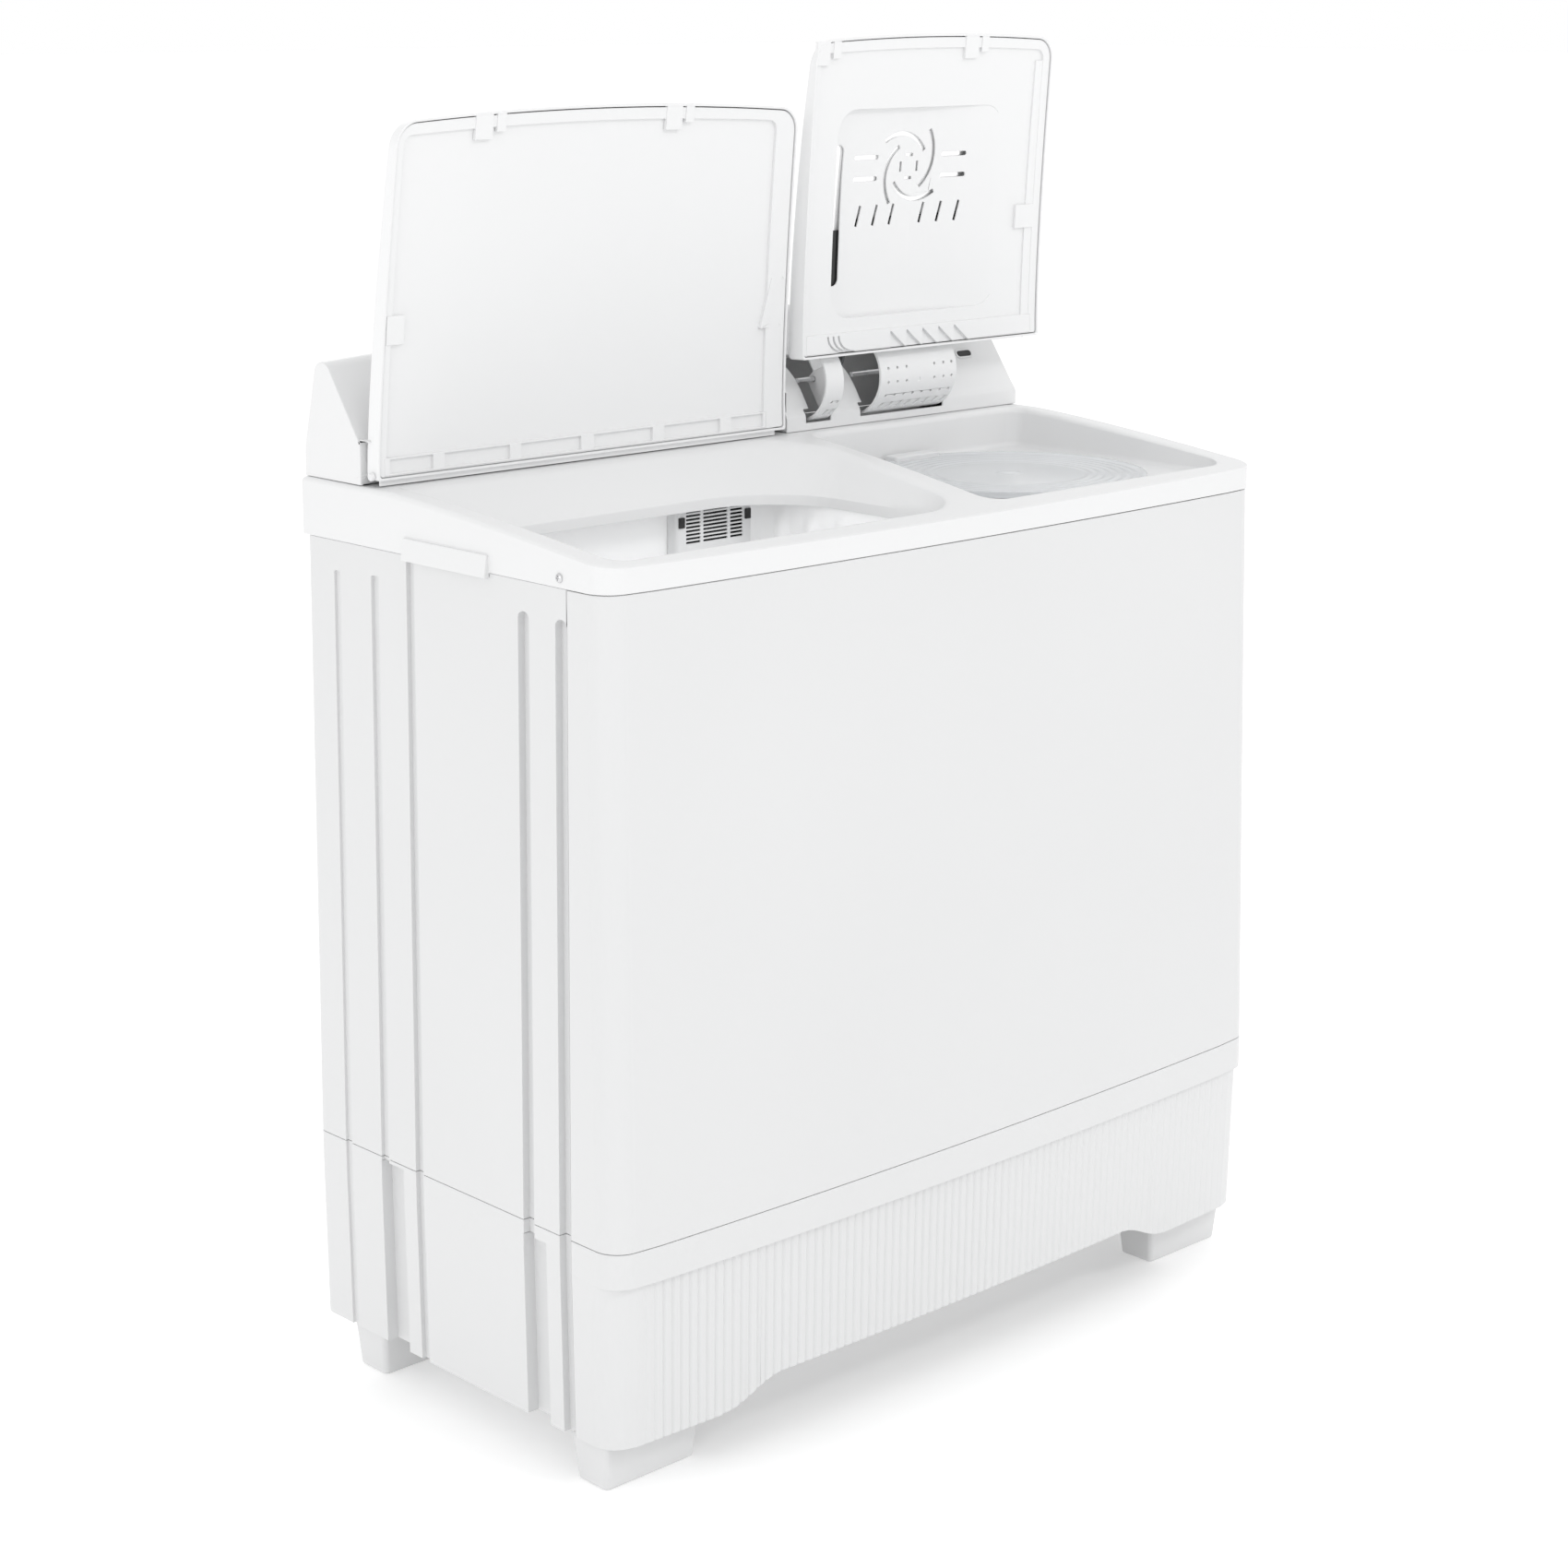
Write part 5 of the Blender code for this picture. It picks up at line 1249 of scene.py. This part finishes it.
def makeWashTub():
    (x0, x1), (y0, y1), t = tub["x"], tub["y"], casing["wall"]
    body = prism("washTub", roundedBox(x0, x1, y0, y1, tub["radii"], 12), tub["low"], tub["high"])
    base, r = tub["low"] + t, tub["floorRound"]
    levels = [(base + r * (1 - math.cos(a)), r * (1 - math.sin(a))) for a in quarter(6)]
    levels += [(z, 0.0) for z in (*tub["levels"], tub["high"] + 0.02)]
    rings = []
    for z, inset in levels:
        radii = [max(0.004, q - t - inset) for q in tub["radii"]]
        outline = roundedBox(x0 + t + inset, x1 - t - inset, y0 + t + inset, y1 - t - inset, radii, 12)
        outline = evenly(outline, 420)
        if inset == 0:
            outline = ribbed(outline, 1.0 if tub["ribsFrom"] < z < tub["ribsTo"] else 0.0)
        rings.append([(x, y, z) for x, y in outline])
    body = cut(body, loft("room", rings))
    cx, cy = washAxis
    drain = (cx + tub["drainAt"], cy)
    body = cut(body, rod("bore", (cx, cy, 0.30), (cx, cy, 0.33), tub["bore"]))
    body = cut(body, rod("drain", (*drain, 0.30), (*drain, 0.33), tub["drain"]))
    # the tub walls take the glowing finish: painted light
    place(body, paints["tubWallPaintedGlow"], "tub_plastic", "cabinet", ["wash_tub"])
    profile = [(0, 0.3184), (0.0235, 0.3184), (0.0240, 0.3196), (0.0225, 0.3204), (0, 0.3208)]
    disc = turned("drainStrainer", profile, drain, 48)
    disc = cutAll(disc, pegs(drain, tub["strainer"], 0.31, 0.33, 0.0022))
    place(softEdges(disc, 0.0003), paints["tub"], "tub_plastic", "cabinet")


def evenly(outline, count):
    # the same outline with its points evenly spaced, so that rings of different size can be lofted
    closed = outline + outline[:1]
    runs = [math.hypot(b[0] - a[0], b[1] - a[1]) for a, b in zip(closed, closed[1:])]
    total, made, at, walked = sum(runs), [], 0, 0.0
    for n in range(count):
        goal = total * n / count
        while walked + runs[at] < goal:
            walked += runs[at]
            at += 1
        share = (goal - walked) / runs[at]
        (xa, ya), (xb, yb) = closed[at], closed[at + 1]
        made.append((xa + (xb - xa) * share, ya + (yb - ya) * share))
    return made


pulsator = {
    "radius": 0.150, "steps": 144, "rows": 22, "blades": 4, "sweep": 3.2, "rise": 0.013,
    "hub": (0.010, 0.030), "holes": ((0.118, 24), (0.100, 20)), "hole": 0.0030,
}


def pulsatorHeight(r, a):
    share = r / pulsator["radius"]
    height, reach = pulsator["hub"]
    blade = math.cos(pulsator["blades"] * (a - pulsator["sweep"] * r / pulsator["radius"])) ** 4 if r else 1
    hub = height * math.exp(-(r / reach) ** 2)
    dish = 0.006 + 0.004 * share ** 2
    rise = pulsator["rise"] * blade * math.sin(math.pi * min(1.0, share)) ** 0.8
    edge = 0.006 * max(0.0, (share - 0.93) / 0.07) ** 2
    return min(0.0305, dish + hub + rise - edge + 0.004)


def makePulsator():
    low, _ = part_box("pulsator")
    cx, cy = washAxis
    base, steps, rows = low.z, pulsator["steps"], pulsator["rows"]
    bm = bmesh.new()
    grid = []
    for k in range(rows + 1):
        r = pulsator["radius"] * k / rows
        grid.append([bm.verts.new((cx + r * math.cos(a), cy + r * math.sin(a), base + pulsatorHeight(r, a)))
                     for a in (2 * math.pi * n / steps for n in range(steps))])
    for inner, outer in zip(grid, grid[1:]):
        for n in range(steps):
            m = (n + 1) % steps
            bm.faces.new((inner[n], outer[n], outer[m], inner[m]))
    rim = [bm.verts.new((v.co.x, v.co.y, base + 0.0002)) for v in grid[-1]]
    for n in range(steps):
        m = (n + 1) % steps
        bm.faces.new((grid[-1][n], rim[n], rim[m], grid[-1][m]))
    bm.faces.new(rim[::-1])
    holes = pegs(washAxis, pulsator["holes"], base - 0.01, base + 0.04, pulsator["hole"])
    disc = cutAll(pieceFrom("pulsatorDisc", bm), holes)
    place(disc, paints["tub"], "tub_plastic", "pulsator", ["pulsator"])
    top = base + 0.0296
    cap = turned("pulsatorCap", [(0, base + 0.022), (0.018, base + 0.022), (0.018, top),
                                 (0.0165, base + 0.0304), (0, base + 0.0308)], washAxis, 48)
    key = block("key", (cx - 0.010, cy - 0.0012, top), (cx + 0.010, cy + 0.0012, base + 0.04))
    place(softEdges(cut(cap, key), 0.0003), paints["grey"], "grey_plastic", "pulsator")


filterLook = {
    "rows": 9, "firstRow": 0.8300, "rowPitch": 0.0040, "slotHeight": 0.0021,
    "columns": ((-0.0865, -0.0665), (-0.0625, -0.0285), (-0.0245, -0.0070)),
    "clip": (0.0075, 0.011),
    "long": (7, 0.016, 0.0125, 0.003, 0.662, 0.800),       # slots below: count, from, pitch, width, foot, top
}


def makeLintFilter():
    low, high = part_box("lint_filter")
    (x0, y0, z0), (x1, y1, z1) = low, high
    cover = prism("lintFilterCover", roundedBox(x0, x1, y0, y1, (0.005, 0.005, 0.0008, 0.0008), 6), z0, z1)
    room = prism("room", roundedBox(x0 + 0.002, x1 - 0.002, y0 + 0.002, y1 + 0.01,
                                    (0.0035, 0.0035, 0.0008, 0.0008), 6), z0 - 0.01, z1 - 0.003)
    cover = cut(cover, room)
    slots = []
    for n in range(filterLook["rows"]):
        z = filterLook["firstRow"] + filterLook["rowPitch"] * n
        slots += [(a, b, z, z + filterLook["slotHeight"]) for a, b in filterLook["columns"]]
    count, first, pitch, width, foot, top = filterLook["long"]
    for n in range(count):
        x = x0 + first + pitch * n
        slots.append((x, x + width, foot, top))
    cutters = [block("slot", (a, y0 - 0.01, c), (b, y0 + 0.006, d)) for a, b, c, d in slots]
    cover = softEdges(cutAll(cover, cutters), 0.0005, 2, 40)
    place(cover, paints["tub"], "tub_plastic", "lint_filter", ["lint_filter"])
    width, tall = filterLook["clip"]
    foot, top = z1 - 0.006 - tall, z1 - 0.006
    for name, x in (("leftFilterClip", x0 + 0.0065), ("rightFilterClip", x1 - 0.0075)):
        clip = block(name, (x - width / 2, y0 - 0.0022, foot), (x + width / 2, y0 + 0.0005, top))
        place(softEdges(clip, 0.0006), paints["black"], "black_plastic", "lint_filter")
    mesh = block("lintMesh", (x0 + 0.0035, y1 - 0.0036, z0 + 0.004), (x1 - 0.0035, y1 - 0.0030, top))
    place(softEdges(mesh, 0.0002), paints["black"], "black_plastic", "lint_filter")


makeWashTub()
makePulsator()
makeLintFilter()
print("wash side made")


# spin side: inner cover and basket

cover = {
    "radius": 0.148, "steps": 144, "rows": 74, "level": 0.0040, "rim": 0.0022,
    "rings": 6, "ringHeight": 0.0011, "from": 0.078, "to": 0.138, "swirl": 0.35,
    "boss": (0.012, 0.0056, 0.0010), "lug": (0.035, 0.0195), "tab": (0.012, 0.0150, 0.0012, 0.0082),
}


def coverHeight(r, a):
    level, (boss, top, fall) = cover["level"], cover["boss"]
    if r > cover["to"]:
        return level + cover["rim"] * min(1.0, (r - cover["to"]) / 0.006)
    if r < boss:
        return top - fall * (r / boss) ** 2
    share = (r - cover["from"]) / (cover["to"] - cover["from"])
    if share < 0:
        return level
    phase = share * cover["rings"] + cover["swirl"] * math.sin(a)
    return level + cover["ringHeight"] * (0.5 - 0.5 * math.cos(2 * math.pi * phase)) * min(1.0, 6 * share)


def makeInnerCover():
    low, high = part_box("spin_inner_cover")
    cx, cy = spinAxis
    base, radius, steps = low.z, cover["radius"], cover["steps"]
    angles = [2 * math.pi * n / steps for n in range(steps)]
    bm = bmesh.new()
    rings = []
    for k in range(1, cover["rows"] + 1):
        r = radius * k / cover["rows"]
        rings.append([bm.verts.new((cx + r * math.cos(a), cy + r * math.sin(a), base + coverHeight(r, a)))
                      for a in angles])
    for r, z in ((radius, 0.0002), (radius - 0.004, 0.0002), (radius - 0.006, 0.0022), (0.02, 0.0022)):
        rings.append([bm.verts.new((x, y, base + z)) for x, y in circle(spinAxis, r, steps)])
    for inner, outer in zip(rings, rings[1:]):
        for n in range(steps):
            m = (n + 1) % steps
            bm.faces.new((inner[n], outer[n], outer[m], inner[m]))
    bm.faces.new(rings[0])
    bm.faces.new(rings[-1])
    disc = pieceFrom("innerCoverDisc", bm)
    place(disc, paints["milky"], "tub_plastic", "inner_cover", ["spin_inner_cover"])
    half, depth = cover["lug"]
    lug = prism("innerCoverLug", roundedBox(cx - half, cx + half, high.y - depth, high.y, (0.004,) * 4, 6),
                base + 0.0022, high.z)
    half, depth, foot, top = cover["tab"]
    tab = prism("innerCoverTab", roundedBox(cx - half, cx + half, low.y, low.y + depth,
                                            (0.005, 0.005, 0.002, 0.002), 6), base + foot, base + top)
    for piece, height in ((lug, high.z), (tab, base + top)):
        place(roundTop(piece, height, 0.0016, 3), paints["satin"], "tub_plastic", "inner_cover")


basket = {
    "around": 54, "up": 22, "rim": 0.0038, "sheet": 0.0012, "draw": 0.0008,
    "wallFoot": 0.030, "wallTop": 0.040, "seamFoot": 0.012, "seamTop": 0.016,
}


def makeBasketWall():
    low, high = spinLow, spinHigh
    r = (high.x - low.x) / 2 - basket["draw"]
    around, up = basket["around"], basket["up"]
    foot, top = low.z + basket["wallFoot"], high.z - basket["wallTop"]
    bm = bmesh.new()

    def ringAt(z):
        return [bm.verts.new((x, y, z)) for x, y in circle(spinAxis, r, around)]

    def belt(a, b):
        for n in range(around):
            m = (n + 1) % around
            bm.faces.new((a[n], a[m], b[m], b[n]))

    rings = [ringAt(foot + (top - foot) * k / up) for k in range(up + 1)]
    for a, b in zip(rings, rings[1:]):
        belt(a, b)
    cells = [f for n, f in enumerate(bm.faces) if (n // around) % 2 == (n % 2)]
    bmesh.ops.inset_individual(bm, faces=cells, thickness=basket["rim"])
    bmesh.ops.delete(bm, geom=cells, context="FACES_ONLY")
    belt(ringAt(low.z + basket["seamFoot"]), rings[0])
    belt(rings[-1], ringAt(high.z - basket["seamTop"]))
    wall = pieceFrom("basketWall", bm)
    solid = wall.modifiers.new("sheet", "SOLIDIFY")
    solid.thickness = basket["sheet"]
    solid.offset = -1
    smooth = wall.modifiers.new("smooth", "SUBSURF")
    smooth.levels = 1
    smooth.render_levels = 1
    place(applied(wall), paints["stainless"], "basket_metal", "spin_basket", ["spin_basket"])


def makeBasket():
    makeBasketWall()
    r, z0, z1 = (spinHigh.x - spinLow.x) / 2, spinLow.z, spinHigh.z
    # radius and height above the foot, from the hub out along the floor and back underneath
    floor = [(0, 0.030), (0.020, 0.0300), (0.030, 0.0285), (0.045, 0.0035), (0.050, 0.0015),
             (r - 0.013, 0.0015), (r - 0.004, 0.006), (r - 0.0018, 0.013), (r - 0.0006, 0.013),
             (r - 0.0004, 0.011), (r - 0.003, 0.003), (r - 0.010, 0), (0.043, 0), (0.030, 0.024), (0, 0.026)]
    foot = turned("basketFloor", [(q, z0 + z) for q, z in floor], spinAxis, 96)
    place(foot, paints["stainless"], "basket_metal", "spin_basket")
    # how far inside the radius and below the top
    edge = [(0.0022, 0.0165), (0.0022, 0.0145), (0.0120, 0.0100), (0.0120, 0.0020), (0.0100, 0),
            (0.0030, 0), (0, 0.0040), (0, 0.0165)]
    rim = turned("basketRim", [(r - q, z1 - z) for q, z in edge], spinAxis, 96)
    place(rim, paints["tub"], "tub_plastic", "spin_basket")


makeInnerCover()
makeBasket()
print("spin side made")


# rear: service cover and pipe stubs

rearCover = {
    "vents": 12, "firstVent": 0.060, "ventPitch": 0.0135, "ventTall": 0.0055, "ventHalf": 0.070,
    "columns": (-0.150, 0.150),
    "label": (0.060, 0.235, 0.280, 0.0012),                # half width, foot, top, depth of a plain recess
    "screwInset": 0.018, "ledgeOut": 0.006, "ledgeBack": 0.014,
}


def makeRearCover():
    low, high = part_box("rear_cover")
    y = high.y
    sheet = frontPrism("rearCover", roundedBox(low.x, high.x, low.z, high.z, (0.0025,) * 4, 4), low.y, y)
    half, vents = rearCover["ventHalf"], []
    for x in rearCover["columns"]:
        for n in range(rearCover["vents"]):
            z = low.z + rearCover["firstVent"] + rearCover["ventPitch"] * n
            outline = slotOutline(x - half, x + half, z, z + rearCover["ventTall"])
            vents.append(frontPrism("vent", outline, low.y - 0.01, y + 0.01))
    sheet = cutAll(sheet, vents)
    half, foot, top, depth = rearCover["label"]
    outline = roundedBox(-half, half, low.z + foot, low.z + top, (0.008,) * 4, 6)
    sheet = softEdges(cut(sheet, frontPrism("recess", outline, y - depth, y + 0.01)), 0.0006)
    place(sheet, paints["satin"], "casing_plastic", "cabinet", ["rear_cover"])
    inset = rearCover["screwInset"]
    spots = [(x, z) for x in (low.x + inset, (low.x + high.x) / 2, high.x - inset)
             for z in (low.z + inset, high.z - inset)]
    for count, (x, z) in enumerate(spots):
        head = screwHead(f"rearScrew{count}", (x, y - 0.0002, z), (0, 1, 0), 0.0042, 0.0010)
        place(head, paints["plated"], "bright_steel", "cabinet")


def makeCoverLedge():
    # a step inside the doorway for the cover to lie on
    low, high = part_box("rear_cover")
    out, back = rearCover["ledgeOut"], rearCover["ledgeBack"]
    outline = roundedBox(low.x - out, high.x + out, low.z + 0.0005, high.z + out, (0.002,) * 4, 3)
    ring = frontPrism("coverLedge", outline, low.y - 0.0040, low.y - 0.0006)
    outline = roundedBox(low.x + back, high.x - back, low.z + back, high.z - back, (0.010,) * 4, 6)
    hole = frontPrism("hole", outline, low.y - 0.02, low.y + 0.01)
    place(softEdges(cut(ring, hole), 0.0004), paints["satin"], "casing_plastic", "cabinet")


def makeStubs():
    for node in ("wash_inlet", "spin_inlet", "cord_gland", "drain_outlet"):
        low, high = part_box(node)
        radius = (high.x - low.x) / 2
        length = high.y - low.y
        barb = [(radius * 0.7, 0), (radius - 0.0006, 0)]
        for n in range(3):
            z = length * (0.45 + 0.16 * n)
            barb += [(radius - 0.0008, z), (radius, z + 0.0008), (radius - 0.0009, z + length * 0.12)]
        barb += [(radius - 0.0010, length), (radius * 0.7, length)]
        stub = turned(node + "Stub", barb, (0, 0), 40)
        stub.data.transform(Matrix.Translation(((low.x + high.x) / 2, low.y, (low.z + high.z) / 2))
                            @ Matrix.Rotation(-math.pi / 2, 4, "X"))
        place(stub, paints["grey"], "grey_plastic", "cabinet", [node])


makeRearCover()
makeCoverLedge()
makeStubs()
print("rear made")

# what is left of the frame takes a finish by its slot
finishOf = {"casing_plastic": "casing", "tub_plastic": "tub", "grey_plastic": "grey",
            "black_plastic": "black", "rubber": "rubber", "bright_steel": "plated",
            "basket_metal": "stainless", "motor_housing": "paint", "painted_steel": "paint",
            "cast_alloy": "casting"}
for entry in frame["record"]["subparts"]:
    held = nodes[entry["node"]].data.materials
    held.clear()
    held.append(paints[finishOf[entry["material_slot"]]])


# floor, light and camera

studio = {
    "floorHalf": 60, "floorColour": (0.90, 0.90, 0.90), "floorGlow": 0.24,
    "sky": 0.97,
    "lamps": {
        # where it stands, where it aims, size, watts
        "keyLamp": ((0.6, -3.6, 3.9), (0, 0, 0.7), 0.9, 30),
        "fillLamp": ((-4.2, -0.6, 1.9), (0, 0, 0.6), 2.4, 18),
        "rearLamp": ((1.6, 3.8, 2.8), (0, 0, 0.7), 2.4, 18),
    },
}


def makeFloor():
    half = studio["floorHalf"]
    ground = prism("floor", roundedBox(-half, half, -half, half, (2.0,) * 4, 8), -0.02, -0.0004)
    look = {"colour": studio["floorColour"], "drift": 0.004, "rough": 0.70, "roughDrift": 0.05,
            "grain": 0.004, "depth": 0.00002}
    paper = surface("paleFloor", look)
    shader = paper.node_tree.nodes["Principled BSDF"]
    shader.inputs["Emission Color"].default_value = (1, 1, 1, 1)
    shader.inputs["Emission Strength"].default_value = studio["floorGlow"]
    shader.inputs["Specular IOR Level"].default_value = 0.1
    ground.data.materials.append(paper)


def makeLight():
    world = bpy.data.worlds.new("studio")
    bpy.context.scene.world = world
    world.use_nodes = True
    tree = world.node_tree
    around = tree.nodes["Background"]
    around.inputs["Color"].default_value = (1, 1, 1, 1)
    around.inputs["Strength"].default_value = studio["sky"]
    seen = tree.nodes.new("ShaderNodeBackground")         # the backdrop itself is plain white
    seen.inputs["Color"].default_value = (1, 1, 1, 1)
    rays = tree.nodes.new("ShaderNodeLightPath")
    pick = tree.nodes.new("ShaderNodeMixShader")
    tree.links.new(rays.outputs["Is Camera Ray"], pick.inputs[0])
    tree.links.new(around.outputs[0], pick.inputs[1])
    tree.links.new(seen.outputs[0], pick.inputs[2])
    tree.links.new(pick.outputs[0], tree.nodes["World Output"].inputs["Surface"])
    for name, (spot, target, size, power) in studio["lamps"].items():
        lamp = bpy.data.lights.new(name, "AREA")
        lamp.size = size
        lamp.energy = power
        holder = bpy.data.objects.new(name, lamp)
        holder.location = spot
        aim = Vector(target) - Vector(spot)
        holder.rotation_euler = aim.to_track_quat("-Z", "Y").to_euler()
        bpy.context.scene.collection.objects.link(holder)


eye = {
    "place": (-2.2126, -2.3073, 1.3941), "turn": 43.341, "tilt": 11.499,      # turn and tilt in degrees
    "lens": 71.837, "shift": -0.10,
}


def makeCamera():
    camera = bpy.data.cameras.new("camera")
    camera.lens = eye["lens"]
    camera.sensor_width = 36
    camera.shift_y = eye["shift"]
    holder = bpy.data.objects.new("camera", camera)
    holder.location = eye["place"]
    holder.rotation_euler = (math.radians(90 - eye["tilt"]), 0, math.radians(-eye["turn"]))
    bpy.context.scene.collection.objects.link(holder)
    bpy.context.scene.camera = holder


makeFloor()
makeLight()
makeCamera()
bpy.context.scene.view_settings.view_transform = "Standard"
print("studio made")
